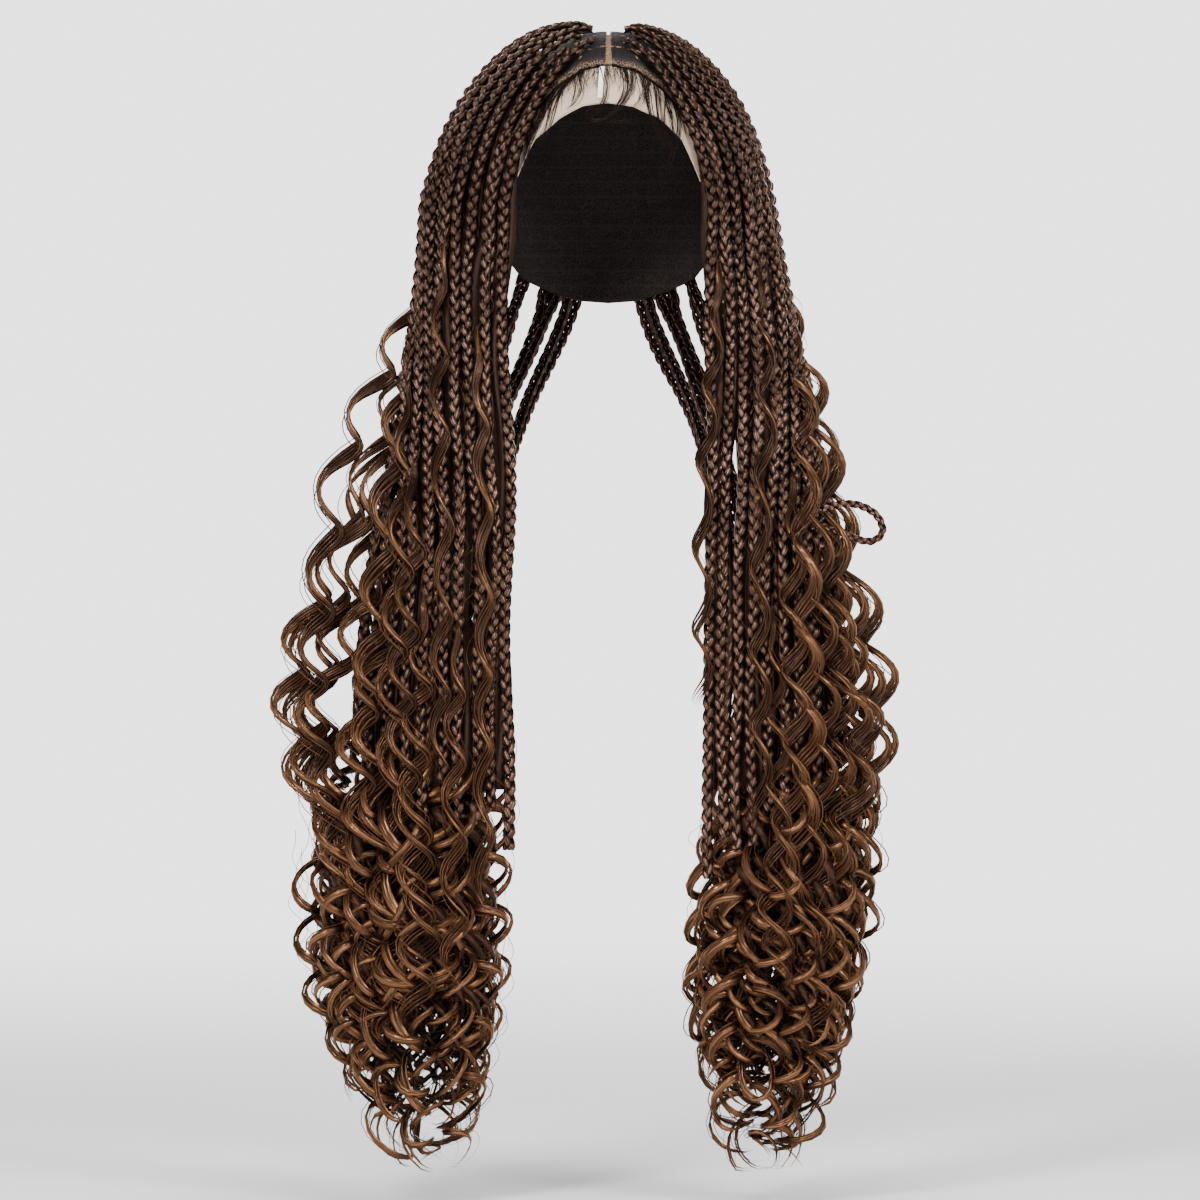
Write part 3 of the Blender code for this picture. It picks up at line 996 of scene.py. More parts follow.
@dataclass
class Plait:
    """A three-strand plait laid along a way."""

    half_swing: float = 2.2 * MM
    half_lift: float = 1.5 * MM
    strand_half_width: float = 1.85 * MM
    strand_half_thickness: float = 1.45 * MM
    pitch: float = 25.5 * MM
    rows_a_pitch: int = 12
    sides: int = 5
    root_share: float = 0.7
    root_length: float = 45 * MM
    strands: int = 3

    def add(
        self, mesh: StrandMesh, way: Array, sideways: Array, phase: float, tint: float, size: float
    ) -> None:
        """Adds one plait to a mesh.

        Args:
            mesh: where its strands go.
            way: its centre line, evenly spaced.
            sideways: the direction across its flat face at each point.
            phase: where its pattern starts, in turns.
            tint: its own shade.
            size: its size, as a share of the usual one.
        """
        forward = tangents(way)
        sideways = squared(sideways, forward)
        outward = np.cross(forward, sideways)
        length = along(way)
        grown = size * (self.root_share + (1 - self.root_share) * smooth_step(length / self.root_length))
        for strand in range(self.strands):
            theta = 2 * np.pi * (length / self.pitch + phase + strand / self.strands)
            over = -np.sin(2 * theta)
            swing = (self.half_swing * grown * np.sin(theta))[:, None]
            path = way + sideways * swing + outward * (self.half_lift * grown * over)[:, None]
            ahead = tangents(path)
            wide = unit(np.cross(outward, ahead))
            thin = np.cross(ahead, wide)
            plump = 0.8 + 0.3 * np.clip(over, -0.2, 1)
            widths = self.strand_half_width * grown * plump
            thicks = self.strand_half_thickness * grown * plump
            # Painted shade where each strand dives under the others, mixed with the plait's own tone, and a
            # painted highlight on the upper part of each lobe
            shade = np.clip(0.35 * tint + 0.95 * (1 - smooth_step((over + 0.25) / 0.85)), 0, 1)
            gleam = smooth_step((-np.sin(2 * theta - 0.4) - 0.45) / 0.5)
            mesh.tube(path, wide, thin, widths, thicks, self.sides, shade, gleam)

    def spacing(self) -> float:
        """Returns how far apart its rows of points lie."""
        return self.pitch / self.rows_a_pitch


@dataclass
class Winding:
    """A path that winds round another one, with its axis tipped so that its outer bends are rounder."""

    axis: Array
    radius: Array
    turns: Array
    tip: Array | float = 0.0
    outward: float = 0.0
    depth_share: float = 0.9
    face: Array | None = None
    face_share: float = 0.0

    def thin_way(self, path: Array) -> Array:
        """Finds the direction of a ribbon's thickness at each point of a wound path.

        Args:
            path: the path.

        Returns:
            The directions.
        """
        forward = tangents(path)
        out = path - self.axis
        out[:, 2] = 0
        out = unit(out) * (1 - self.face_share)
        if self.face is not None:
            out = out + self.face * self.face_share
        return unit(out - forward * np.sum(out * forward, axis=1, keepdims=True) + 1e-9)

    def facing(self, path: Array) -> Array:
        """Finds how far each point of a wound path lies on its outer side, from 0 to 1, which sets where a
        lock gets painted highlight and painted shade.

        Args:
            path: the path.

        Returns:
            The shares.
        """
        out = path - self.axis
        out[:, 2] = 0
        towards = unit(self.face) if self.face is not None else np.array([0, -1.0, 0])
        return 0.5 + 0.5 * np.sum(unit(out + 1e-9) * towards, axis=1)

    def path(self, shift: float = 0.0, gain: float = 1.0) -> Array:
        """Works out the wound path.

        Args:
            shift: how far ahead in its turns, in radians.
            gain: its radius, as a share.

        Returns:
            The path.
        """
        turns = self.turns + shift
        radius = self.radius * gain
        swing = np.stack(
            [
                radius * np.cos(turns),
                radius * np.sin(turns) * self.depth_share,
                -self.tip * gain * np.sin(turns - self.outward) * np.sign(self.turns[-1] - self.turns[0]),
            ],
            axis=1,
        )
        return self.axis + swing


@dataclass
class Lock:
    """A lock of loose hair: a few flat ribbons side by side with finer strands round them."""

    half_width: float = 2.6 * MM
    half_thickness: float = 1.1 * MM
    ribbons: int = 2
    fine_radius: float = 0.36 * MM
    fine_strands: int = 2
    spread: float = 1.7 * MM
    stray: float = 1.7 * MM
    phase_spread: float = 0.22
    sides: int = 5
    tip_share: float = 0.5
    # How much painted shade the inner, back side of each bend gets
    hollow_shade: float = 0.75
    floor: float = -678.3 * MM

    def add(self, mesh: StrandMesh, winding: Winding, size: float, tint: float, seed: int) -> None:
        """Adds one lock to a mesh.

        Args:
            mesh: where its strands go.
            winding: its winding path.
            size: its size, as a share of the usual one.
            tint: its own shade.
            seed: what its stray strands are drawn from.
        """
        rng = np.random.default_rng(seed)
        share = np.linspace(0, 1, len(winding.axis))
        slim = np.minimum(smooth_step(share * 9 + 0.3), 1 - (1 - self.tip_share) * share**2.4)
        end = smooth_step((1 - share) * 16 + 0.06)
        for ribbon in range(self.ribbons):
            place = (ribbon - (self.ribbons - 1) / 2) * 2 / max(self.ribbons, 2)
            path, wide, out = self.placed(winding, rng, place)
            path = path + wide * (place * self.spread * size * (0.5 + 0.5 * share))[:, None]
            broad = size * slim * end * rng.uniform(0.75, 1.1)
            # Painted highlight on the outer side of each bend and painted shade on its inner side, with the
            # lock's own tone
            front = winding.facing(path)
            shade = np.clip(0.55 * tint + rng.normal(0, 0.1) + self.hollow_shade * (1 - front), 0, 1)
            gleam = smooth_step((front - 0.4) / 0.55)
            widths = self.half_width * broad
            thicks = self.half_thickness * broad
            mesh.tube(path, wide, out, widths, thicks, self.sides, shade, gleam)
        for _ in range(self.fine_strands):
            drift = rng.normal(0, 1, 3) * self.stray * size
            path, wide, out = self.placed(winding, rng, rng.normal(0, 1.2))
            away = wide * drift[0] + out * (drift[1] * 0.5 + drift[2] * np.sin(share * 5))[:, None]
            fine = path + away * (0.4 + 0.6 * share[:, None])
            fine[:, 2] = np.maximum(fine[:, 2], self.floor)
            radii = self.fine_radius * size * smooth_step((1 - share) * 6 + 0.2)
            shade = float(np.clip(tint + rng.normal(0, 0.25), 0, 1))
            mesh.round_tube(fine, radii, 3, shade)

    def placed(self, winding: Winding, rng: Random, place: float) -> tuple[Array, Array, Array]:
        """Places one strand of the lock.

        Args:
            winding: the lock's winding path.
            rng: what its unevenness is drawn from.
            place: its place across the lock.

        Returns:
            The strand's path, and its directions across and outward.
        """
        shift = self.phase_spread * place + rng.normal(0, 0.05)
        path = winding.path(shift, 1 + rng.normal(0, 0.06))
        path[:, 2] = np.maximum(path[:, 2], self.floor)
        out = winding.thin_way(path)
        return path, np.cross(tangents(path), out), out


@dataclass(frozen=True)
class Lane:
    """Where one plait hangs in the sheet, and how its way strays and turns."""

    sheet: HairSheet
    side: Side
    around: float
    start: float
    end: float
    inset: float
    meander: float
    # The place round the sheet where plaits begin to face backward, and where their flat side changes over
    front_end: float = 0.62
    mirror: float = 0.75
    # How far beside it a lane is looked at to find its slope, as a share of the sheet
    beside: float = 0.02
    # How much a plait's flat side is turned to the front at its root and lower down, and where that changes
    turned: Pair = (0.2, 0.55)
    turned_from: float = 0.05
    turned_over: float = 0.1
    # Where below its root a plait begins to stray, and over what length
    free_from: float = 0.09
    free_over: float = 0.08

    def way(self, shift: float = 0.0) -> Array:
        """Returns the way of the lane, or of one beside it by a share of the sheet."""
        around = min(max(self.around + shift, 0.0), 1.0)
        return self.sheet.way(self.side, around, self.start, self.end, self.inset)

    def sideways(self, way: Array, spacing: float) -> Array:
        """Finds the direction across the flat of the plait, so that its face looks outward.

        Args:
            way: the lane's way, evenly spaced.
            spacing: how far apart its points are.

        Returns:
            The directions, one for each point.
        """
        cross = resampled(self.way() + (self.way(self.beside) - self.way(-self.beside)), spacing)
        picked = np.linspace(0, len(cross) - 1, len(way)).astype(int)
        forward = tangents(way)
        lower = smooth_step((along(way) - self.turned_from) / self.turned_over)[:, None]
        turned = self.turned[0] + self.turned[1] * lower
        across = np.array([self.side.value * (1.0 if self.around < self.mirror else -1.0), 0, 0])
        found = squared(unit(cross[picked] - way) * (1 - turned) + across * turned, forward)
        away = np.array([0.6 * self.side.value, -1.0 if self.around < self.front_end else 1.0, 0.0])
        outward = np.cross(forward, found)[len(way) // 3:]
        return -found if np.sum(outward @ away) < 0 else found

    def lay(self, mesh: StrandMesh, plait: Plait, seed: int) -> None:
        """Lays a plait along the lane.

        Args:
            mesh: where its strands go.
            plait: how it's made.
            seed: what its small unevenness is drawn from.
        """
        rng = np.random.default_rng(seed)
        way = resampled(self.way(), plait.spacing())
        share = np.linspace(0, 1, len(way))
        sideways = self.sideways(way, plait.spacing())
        outward = np.cross(tangents(way), sideways)
        length = along(way)
        free = smooth_step((length - self.free_from) / self.free_over)
        stray = np.sin(length / rng.uniform(0.016, 0.028) + rng.uniform(0, 6)) * 0.6
        stray += np.sin(length / rng.uniform(0.035, 0.06) + rng.uniform(0, 6))
        way = way + sideways * (stray * free * self.meander)[:, None]
        most = rng.uniform(0.1, 0.4)
        twist = free * most * np.sin(2 * np.pi * (share * rng.uniform(0.8, 2.2) + rng.uniform(0, 1)))
        turned = sideways * np.cos(twist)[:, None] + outward * np.sin(twist)[:, None]
        phase, tint, size = rng.uniform(0, 1), rng.uniform(0.1, 0.9), rng.uniform(0.93, 1.06)
        plait.add(mesh, way, turned, phase, float(tint), float(size))


@dataclass
class MainBraids(SidedHair):
    """The main plaits, one for each braid of the frame, with a loop that stands out on the right."""

    sheet: HairSheet
    plait: Plait = field(default_factory=Plait)
    braids_per_side: int = 17
    staggers: Triple = (0.0, 0.17, 0.08)
    top_inner_depth: float = 462
    top_outer_depth: float = 404
    # How much lower the front braids end, left and right, and by how much their ends differ, in millimetres
    front_drops: Pair = (16, 34)
    end_stagger: float = 12
    front_end: float = 0.62
    front_fade: float = 0.2
    # The depth at which a braid's place across its curly end is read
    probe_depth: float = 440
    meander: float = 1.3 * MM
    # The loop's route from the fall in millimetres: out, back and up
    loop_route: Table = (
        (-6, 2, 1),
        (0, 0, 4),
        (10, -3, 9),
        (24, -6, 10),
        (36, -8, 4),
        (40, -9, -6),
        (33, -9, -12),
        (20, -7, -9),
        (8, -4, -4),
        (0, -1.5, -3),
        (-6, 1, -5),
    )

    def around(self, index: float) -> float:
        """Returns a braid's place round the sheet by its number."""
        return (index + 0.15) / (self.braids_per_side - 0.7)

    def end_depth(self, side: Side, around: float) -> float:
        """Returns how low a braid reaches, lower in front than its curls begin.

        Args:
            side: its side.
            around: its place round the sheet.

        Returns:
            The depth of its end in millimetres.
        """
        curls = CURL_ROWS[side][0]
        x = abs(float(self.sheet.point(side, around, self.probe_depth)[0])) / MM
        share = (x - curls[1]) / (curls[2] - curls[1])
        top = self.top_inner_depth + (self.top_outer_depth - self.top_inner_depth) * share
        front = smooth_step((self.front_end - around) / self.front_fade)
        lower = self.front_drops[side is Side.RIGHT] * front
        return top + lower + self.end_stagger * math.sin(9.7 * around * self.braids_per_side)

    def build_side(self, side: Side) -> list[Piece]:
        """Builds every main plait of one side, with the loop on the right.

        Args:
            side: their side.

        Returns:
            The pieces.
        """
        plaits = [self.build_plait(side, index) for index in range(self.braids_per_side)]
        return plaits if side is Side.LEFT else [*plaits, self.build_loop()]

    def build_plait(self, side: Side, index: int) -> Piece:
        """Builds one plait in place of its braid of the frame.

        Args:
            side: its side.
            index: its number from the front, from 0.

        Returns:
            The piece.
        """
        around = self.around(index)
        start = self.staggers[index % len(self.staggers)]
        lane = Lane(self.sheet, side, around, start, self.end_depth(side, around), 0.0, self.meander)
        mesh = StrandMesh()
        lane.lay(mesh, self.plait, index + (100 if side is Side.RIGHT else 0))
        piece = mesh.build(f"plait_{side.word}_{index + 1:02d}", self.material)
        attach(piece, "root")
        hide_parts(f"braid_{side.word}_{index + 1:02d}")
        return piece

    def build_loop(self) -> Piece:
        """Builds the thin plait that stands out of the right fall as a loop."""
        lane = self.sheet.point(Side.RIGHT, self.around(7), 290.0)
        start = lane + np.array([3.9 * MM, 0, 0])
        way = resampled(start + np.array(self.loop_route) * MM, 1.5 * MM)
        plait = Plait(
            half_swing=1.4 * MM,
            half_lift=0.9 * MM,
            strand_half_width=1.3 * MM,
            strand_half_thickness=1.05 * MM,
            pitch=16 * MM,
            root_share=1.0,
        )
        mesh = StrandMesh()
        sideways = np.cross(tangents(way), np.array([0, 1.0, 0.2]))
        plait.add(mesh, way, sideways, 0.1, 0.35, 1.0)
        piece = mesh.build("plait_loop_right", self.material)
        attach(piece, "root")
        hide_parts("braid_loop_right")
        return piece


@dataclass
class InnerBraids(SidedHair):
    """The finer plaits under and between the main ones, one mesh a side."""

    sheet: HairSheet
    plait: Plait = field(default_factory=lambda: Plait(rows_a_pitch=10, sides=4))
    count: int = 12
    insets: Triple = (0.16, 0.42, 0.27)
    starts: Triple = (0.66, 0.8, 0.73)
    # How deep they reach, and how much deeper each of four in turn, in millimetres
    end: float = 424.0
    end_step: float = 9
    nape_azimuths: Pair = (177.6, 172.5)
    nape_polar: float = 56.0
    nape_grow: float = 8.0 * MM
    # The last polar angle over the cap, the depths of the lane below it, and how far inside they hang
    nape_edge: float = 92
    nape_depths: Pair = (150, 420)
    nape_inset: float = 0.12
    meander: float = 2.0 * MM

    def build_side(self, side: Side) -> list[Piece]:
        """Builds one side's inner plaits as one piece.

        Args:
            side: their side.

        Returns:
            The piece.
        """
        mesh = StrandMesh()
        for index in range(self.count):
            around = (index + 0.65) / (self.count - 0.2)
            pick = index % len(self.insets)
            inset = self.insets[pick] * (0.4 + 0.6 * float(smooth_step(around / 0.25)))
            end = self.end + self.end_step * (index % 4)
            lane = Lane(self.sheet, side, around, self.starts[pick], end, inset, self.meander)
            lane.lay(mesh, self.plait, 300 + index + (100 if side is Side.RIGHT else 0))
        self.nape(mesh, side)
        piece = mesh.build(f"plaits_within_{side.word}", self.material)
        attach(piece, "root")
        return [piece]

    def nape(self, mesh: StrandMesh, side: Side) -> None:
        """Adds the plaits that are rooted low on the back and fall over the nape.

        Args:
            mesh: where their strands go.
            side: their side.
        """
        hollow = self.sheet.hollow
        depths = np.linspace(*self.nape_depths, 16)
        for number, azimuth in enumerate(self.nape_azimuths):
            polar = np.linspace(self.nape_polar + 5 * number, self.nape_edge, 7)
            around = np.full(7, side.value * azimuth)
            grow = self.nape_grow * (0.6 + 0.4 * smooth_step((polar - polar[0]) / 8))
            over = hollow.point(around, polar, grow)
            lane = self.sheet.point(side, 1.0 - 0.06 * number, depths)
            inward = self.sheet.middle(side, depths) - lane
            points = np.concatenate([over, lane + self.nape_inset * inward])
            way = resampled(points, self.plait.spacing())
            sideways = np.broadcast_to(np.array([-1.0, 0, 0]), way.shape)
            self.plait.add(mesh, way, sideways, 0.3 * number, 0.4, 0.92)


# The curly ends in millimetres: depth, inner and outer distance from the middle, front and back
CURL_ROWS: dict[Side, Table] = {
    Side.LEFT: (
        (404, 50, 192, -108, -36),
        (450, 50, 192, -114, -34),
        (520, 51, 192, -115, -34),
        (575, 54, 182, -112, -38),
        (615, 66, 162, -106, -44),
        (650, 76, 148, -100, -52),
        (670, 88, 138, -92, -60),
    ),
    Side.RIGHT: (
        (404, 50, 168, -108, -36),
        (450, 52, 165, -114, -34),
        (520, 48, 164, -115, -34),
        (575, 46, 150, -112, -38),
        (615, 54, 137, -106, -44),
        (650, 62, 124, -100, -52),
        (672, 76, 110, -92, -60),
    ),
}


@dataclass
class CurlyEnds(SidedHair):
    """The ringlets that each fall ends in."""

    lock: Lock = field(default_factory=Lock)
    count: int = 66
    points_a_turn: int = 12
    # What each ringlet's start, end, wave length and radius are drawn from, in millimetres
    starts: Pair = (365, 490)
    short_ends: Pair = (560, 640)
    long_ends: Pair = (625, 674)
    waves: Pair = (25, 40)
    radii: Pair = (6.5, 11.0)
    # The depth of the lowest ringlets, and how many others go with each of them
    lowest: float = 677.0
    lowest_every: int = 12
    last_section: float = 668
    gathered: float = 14
    gather_depth: float = 85
    squareness: float = 0.8

    def section(self, side: Side, depth: Array, turn: Array, out: Array) -> Array:
        """Finds places in the curly ends.

        Args:
            side: the fall's side.
            depth: millimetres below the origin.
            turn: the place round the section, in radians.
            out: how far out from its middle, as a share.

        Returns:
            The points.
        """
        rows = np.array(CURL_ROWS[side], float)
        inner, outer, front, back = (np.interp(depth, rows[:, 0], rows[:, i]) for i in range(1, 5))
        cosine = np.sign(np.cos(turn)) * np.abs(np.cos(turn)) ** self.squareness
        sine = np.sign(np.sin(turn)) * np.abs(np.sin(turn)) ** self.squareness
        x = cosine * (outer - inner) / 2 * out + (outer + inner) / 2
        y = sine * (back - front) / 2 * out + (front + back) / 2
        return np.stack([side.value * x, y, -depth], axis=-1) * MM

    def build_side(self, side: Side) -> list[Piece]:
        """Builds one side's ringlets in place of the frame's curly ends.

        Args:
            side: their side.

        Returns:
            The piece.
        """
        rng = np.random.default_rng(40 + side.value)
        mesh = StrandMesh()
        for number in range(self.count):
            turn = 2 * np.pi * (number * EVEN_TURN % 1)
            out = math.sqrt(rng.uniform(0.12, 1.0))
            begin = rng.uniform(*self.starts)
            reach = rng.choice([rng.uniform(*self.short_ends), rng.uniform(*self.long_ends)])
            if number % self.lowest_every == 0:
                reach = self.lowest
            self.ringlet(mesh, side, (turn, out), (begin, reach), rng, number)
        piece = mesh.build(f"ringlets_{side.word}", self.material)
        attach(piece, "root")
        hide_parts(f"curls_{side.word}")
        return [piece]

    def ringlet(
        self,
        mesh: StrandMesh,
        side: Side,
        place: Pair,
        span: Pair,
        rng: Random,
        number: int,
    ) -> None:
        """Adds one ringlet.

        Args:
            mesh: where it goes.
            side: the fall's side.
            place: where in the section it hangs, its turn and how far out.
            span: the depths where it starts and ends.
            rng: what its size and winding are drawn from.
            number: its number.
        """
        turn, out = place
        begin, end = span
        wave = rng.uniform(*self.waves)
        radius = rng.uniform(*self.radii) * (0.8 + 0.3 * out)
        turns = (end - begin) / wave
        depth = np.linspace(begin, end, max(int(turns * self.points_a_turn), 8))
        share = (depth - begin) / (end - begin)
        spread = smooth_step((depth - begin) / self.gather_depth)
        inside = out * (1 - radius / 62) * (0.3 + 0.7 * spread)
        held = np.minimum(depth, self.last_section)
        axis = self.section(side, held, turn + rng.normal(0, 0.12) * share, inside)
        axis[:, 0] -= side.value * self.gathered * MM * (1 - spread)
        axis[:, 2] = -depth * MM
        grow = smooth_step(share * 3.0 + 0.08)
        angle = 2 * np.pi * (depth / wave + 0.12 * np.sin(share * rng.uniform(3, 7))) + rng.uniform(0, 6.28)
        hand = 1 if rng.random() < 0.5 else -1
        facing = (0.0 if math.cos(turn) * side.value > 0 else math.pi) + rng.uniform(-0.9, 0.9)
        ring = 1 + 0.5 * smooth_step((share - 0.7) / 0.3)
        tip = rng.uniform(0.55, 1.15) * wave / (2 * np.pi) * MM * grow * ring
        # The face turns each ribbon, and the side of each bend that looks along it, outward and to the front,
        # gets painted highlight
        middle = self.section(side, held, turn, inside * 0)
        face = axis - middle
        face[:, 2] = 0
        face = unit(unit(face + 1e-6) + np.array([0, -0.6, 0]))
        uneven = 0.95 + 0.17 * np.sin(depth / rng.uniform(16, 30) + rng.uniform(0, 6.28))
        winding = Winding(axis, radius * MM * grow * uneven, hand * angle, tip, facing, 0.85, face, 0.5)
        self.lock.add(mesh, winding, rng.uniform(0.75, 1.25), float(rng.uniform(0, 1)), 1000 + number)


@dataclass
class WavyLocks(SidedHair):
    """The loose wavy locks that leave the braids on their way down."""

    sheet: HairSheet
    lock: Lock = field(
        default_factory=lambda: Lock(
            half_width=1.7 * MM,
            half_thickness=0.8 * MM,
            ribbons=5,
            fine_strands=3,
            spread=3.6 * MM,
            stray=2.6 * MM,
            phase_spread=0.4,
            sides=4,
            hollow_shade=0.5,
        )
    )
    points_a_wave: int = 12
    drift_depth: float = 160
    # The depths over which a lock draws in again, and how far it then hangs inward, in millimetres
    draw_in_from: float = 400
    draw_in_over: float = 140
    drawn_in: float = 14
    # Where round the sheet the fine front locks end, and where the locks that face backward start
    fine_until: float = 0.32
    back_from: float = 0.66
    # Place round the sheet, start and end depth, how far out and forward it drifts, wave length and swing
    left: Table = (
        (0.50, 128, 560, 36, 6, 45, 8.0),
        (0.55, 150, 590, 20, 4, 44, 8.0),
        (0.47, 168, 600, 6, 9, 46, 8.5),
        (0.60, 190, 600, 34, -4, 45, 8.0),
        (0.53, 225, 600, 44, 4, 44, 9.0),
        (0.43, 205, 560, 0, 10, 47, 7.5),
        (0.58, 262, 590, 24, 0, 45, 8.5),
        (0.38, 250, 560, 2, 10, 46, 7.0),
        (0.25, 118, 440, 1, 8, 50, 5.0),
        (0.10, 172, 520, 0, 7, 48, 4.0),
        (0.50, 300, 620, 46, 4, 43, 9.0),
        (0.44, 322, 600, 30, 8, 42, 9.0),
        (0.33, 330, 590, 3, 9, 44, 7.5),
        (0.20, 345, 560, 2, 8, 44, 5.5),
    )
    right: Table = (
        (0.50, 132, 560, 8, 6, 46, 7.5),
        (0.56, 168, 590, 11, 0, 45, 8.0),
        (0.46, 190, 560, 4, 9, 46, 7.5),
        (0.61, 235, 600, 26, -6, 45, 8.0),
        (0.53, 250, 600, 6, 2, 44, 7.5),
        (0.42, 160, 520, 0, 10, 48, 6.5),
        (0.58, 272, 590, 20, -2, 45, 8.0),
        (0.36, 262, 560, 2, 9, 46, 7.0),
        (0.22, 136, 470, 1, 8, 50, 5.0),
        (0.03, 132, 400, -7, 6, 47, 4.5),
        (0.52, 290, 620, 24, 4, 43, 8.0),
        (0.47, 305, 600, 30, 8, 42, 8.0),
        (0.28, 340, 570, 2, 8, 44, 6.0),
    )

    def build_side(self, side: Side) -> list[Piece]:
        """Builds one side's wavy locks in place of the frame's.

        Args:
            side: their side.

        Returns:
            The piece.
        """
        mesh = StrandMesh()
        rng = np.random.default_rng(77 + side.value)
        for number, row in enumerate(self.left if side is Side.LEFT else self.right):
            self.wavy(mesh, side, row, rng, number)
        piece = mesh.build(f"wavy_locks_{side.word}", self.material)
        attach(piece, "root")
        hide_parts(*(f"wave_{side.word}_{number:02d}" for number in (1, 2, 3)))
        return [piece]

    def wavy(self, mesh: StrandMesh, side: Side, row: tuple, rng: Random, number: int) -> None:
        """Adds one wavy lock.

        Args:
            mesh: where it goes.
            side: its side.
            row: its row of the table.
            rng: what its unevenness is drawn from.
            number: its number.
        """
        around, begin, end, outward, forward, wave, swing = row
        depth = np.linspace(begin, end, int((end - begin) / wave * self.points_a_wave))
        share = (depth - begin) / (end - begin)
        held = np.minimum(depth, self.sheet.last_depth)
        axis = self.sheet.point(side, around, held)
        eased = smooth_step((depth - begin) / self.drift_depth)
        lower = smooth_step((depth - self.draw_in_from) / self.draw_in_over)
        out = outward * eased * (1 - 0.75 * lower)
        axis[:, 0] += side.value * out * MM - side.value * lower * self.drawn_in * MM * (around > 0.35)
        axis[:, 1] -= (4.0 * smooth_step(share * 20) + forward * eased) * MM
        axis[:, 2] = -depth * MM
        grow = smooth_step((depth - begin) / 60)
        angle = 2 * np.pi * (depth / wave + 0.08 * np.sin(depth / 31)) + 5 * around + rng.uniform(-0.5, 0.5)
        radius = swing * MM * grow * (1 + 0.25 * lower)
        # The face turns each ribbon, and the side of each bend that looks along it, mostly to the front or
        # backward for back locks, gets painted highlight
        facing = 0.0 if side is Side.RIGHT else math.pi
        face = axis - self.sheet.middle(side, held)
        face[:, 2] = 0
        face = unit(face) + np.array([0, -1.1 if around < self.back_from else 0.4, 0])
        tip = 0.3 * wave / (2 * np.pi) * MM * grow
        winding = Winding(axis, radius, angle, tip, facing, 0.45, unit(face), 0.85)
        size = rng.uniform(0.8, 1.1) * (0.72 if around < self.fine_until else 1.0)
        self.lock.add(mesh, winding, size, float(rng.uniform(0, 0.8)), 2000 + number)


@dataclass
class InnerHair(SidedHair):
    """The loose dark hair deep inside each fall, behind the plaits and within the ringlets, its tones drawn
    towards the dark end partly as painted shade.
    """

    sheet: HairSheet
    curls: CurlyEnds
    hanging: int = 30
    curling: int = 44
    half_width: float = 4.4 * MM
    half_thickness: float = 1.5 * MM
    sink: float = 4.4 * MM
    # What the curling locks' start, end, radius and winding are drawn from, in millimetres
    curl_starts: Pair = (395, 430)
    curl_ends: Pair = (594, 648)
    curl_radii: Pair = (4, 8)
    curl_pitches: Pair = (4.6, 6.2)
    gathered: float = 16
    # The depth where the locks behind the nape start, and the one where all hanging locks end
    nape_depth: float = 205
    nape_from: float = 0.66
    hang_end: float = 450

    def build_side(self, side: Side) -> list[Piece]:
        """Builds one side's inner hair.

        Args:
            side: its side.

        Returns:
            The piece.
        """
        rng = np.random.default_rng(60 + side.value)
        mesh = StrandMesh()
        for number in range(self.hanging):
            self.hang(mesh, side, 0.8 * (number + 0.5) / self.hanging, rng)
        lock = Lock(
            half_width=self.half_width,
            half_thickness=self.half_thickness,
            ribbons=1,
            fine_strands=0,
            sides=4,
            tip_share=0.25,
        )
        for number in range(self.curling):
            turn = 2 * np.pi * (number * EVEN_TURN % 1)
            depth = np.linspace(rng.uniform(*self.curl_starts), rng.uniform(*self.curl_ends), 60)
            spread = smooth_step(np.linspace(0, 1, len(depth)) * 3)
            out = 0.72 * math.sqrt(rng.uniform(0.0, 1.0)) * (0.35 + 0.65 * spread)
            axis = self.curls.section(side, depth, turn, out)
            axis[:, 0] -= side.value * self.gathered * MM * (1 - spread)
            angle = depth / rng.uniform(*self.curl_pitches) + rng.uniform(0, 6)
            radius = rng.uniform(*self.curl_radii) * MM * spread
            winding = Winding(axis, radius, angle, 3.5 * MM * spread, 0.0, 0.85)
            # Tones drawn towards the dark end, partly painted shade deep in the curls
            lock.add(mesh, winding, 1.0, float(rng.uniform(0.2, 1.0)), 3000 + number)
        piece = mesh.build(f"inner_hair_{side.word}", self.material)
        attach(piece, "root")
        return [piece]

    def hang(self, mesh: StrandMesh, side: Side, around: float, rng: Random) -> None:
        """Adds one flat lock that hangs behind the plaits.

        Args:
            mesh: where it goes.
            side: its side.
            around: its place round the sheet.
            rng: what its unevenness is drawn from.
        """
        inset = rng.uniform(0.16, 0.42) if around > 0.07 else 0.07
        if around < self.nape_from:
            points = self.sheet.way(side, around, 0.3, self.hang_end, inset)
            centre = np.array([0, 0, -self.sheet.hollow.half_height])
            sunk = self.sink * (1 - smooth_step((-points[:, 2] - 0.1) / 0.05))
            points = points - unit(points - centre) * sunk[:, None]
        else:
            depths = np.linspace(self.nape_depth, self.hang_end, 20)
            points = self.sheet.point(side, around, depths)
            shares = inset * (0.3 + 0.7 * smooth_step((depths - self.nape_depth) / 60))
            points[:, :2] += ((self.sheet.middle(side, depths) - points) * shares[:, None])[:, :2]
        way = resampled(points, 13 * MM)
        beside = self.sheet.point(side, min(around + 0.02, 1), 300) - self.sheet.point(side, around, 300)
        share = np.linspace(0, 1, len(way))
        forward = tangents(way)
        wide = unit(beside - forward * (forward @ beside)[:, None])
        way = way + wide * (2.5 * MM * np.sin(share * rng.uniform(14, 24)))[:, None]
        grown = 0.35 + 0.65 * smooth_step(share * 3)
        widths = self.half_width * 1.1 * grown
        # Tones drawn towards the dark end, partly painted shade behind the plaits
        tint = float(rng.uniform(0.3, 1))
        mesh.tube(way, wide, np.cross(forward, wide), widths, self.half_thickness * grown, 5, tint)


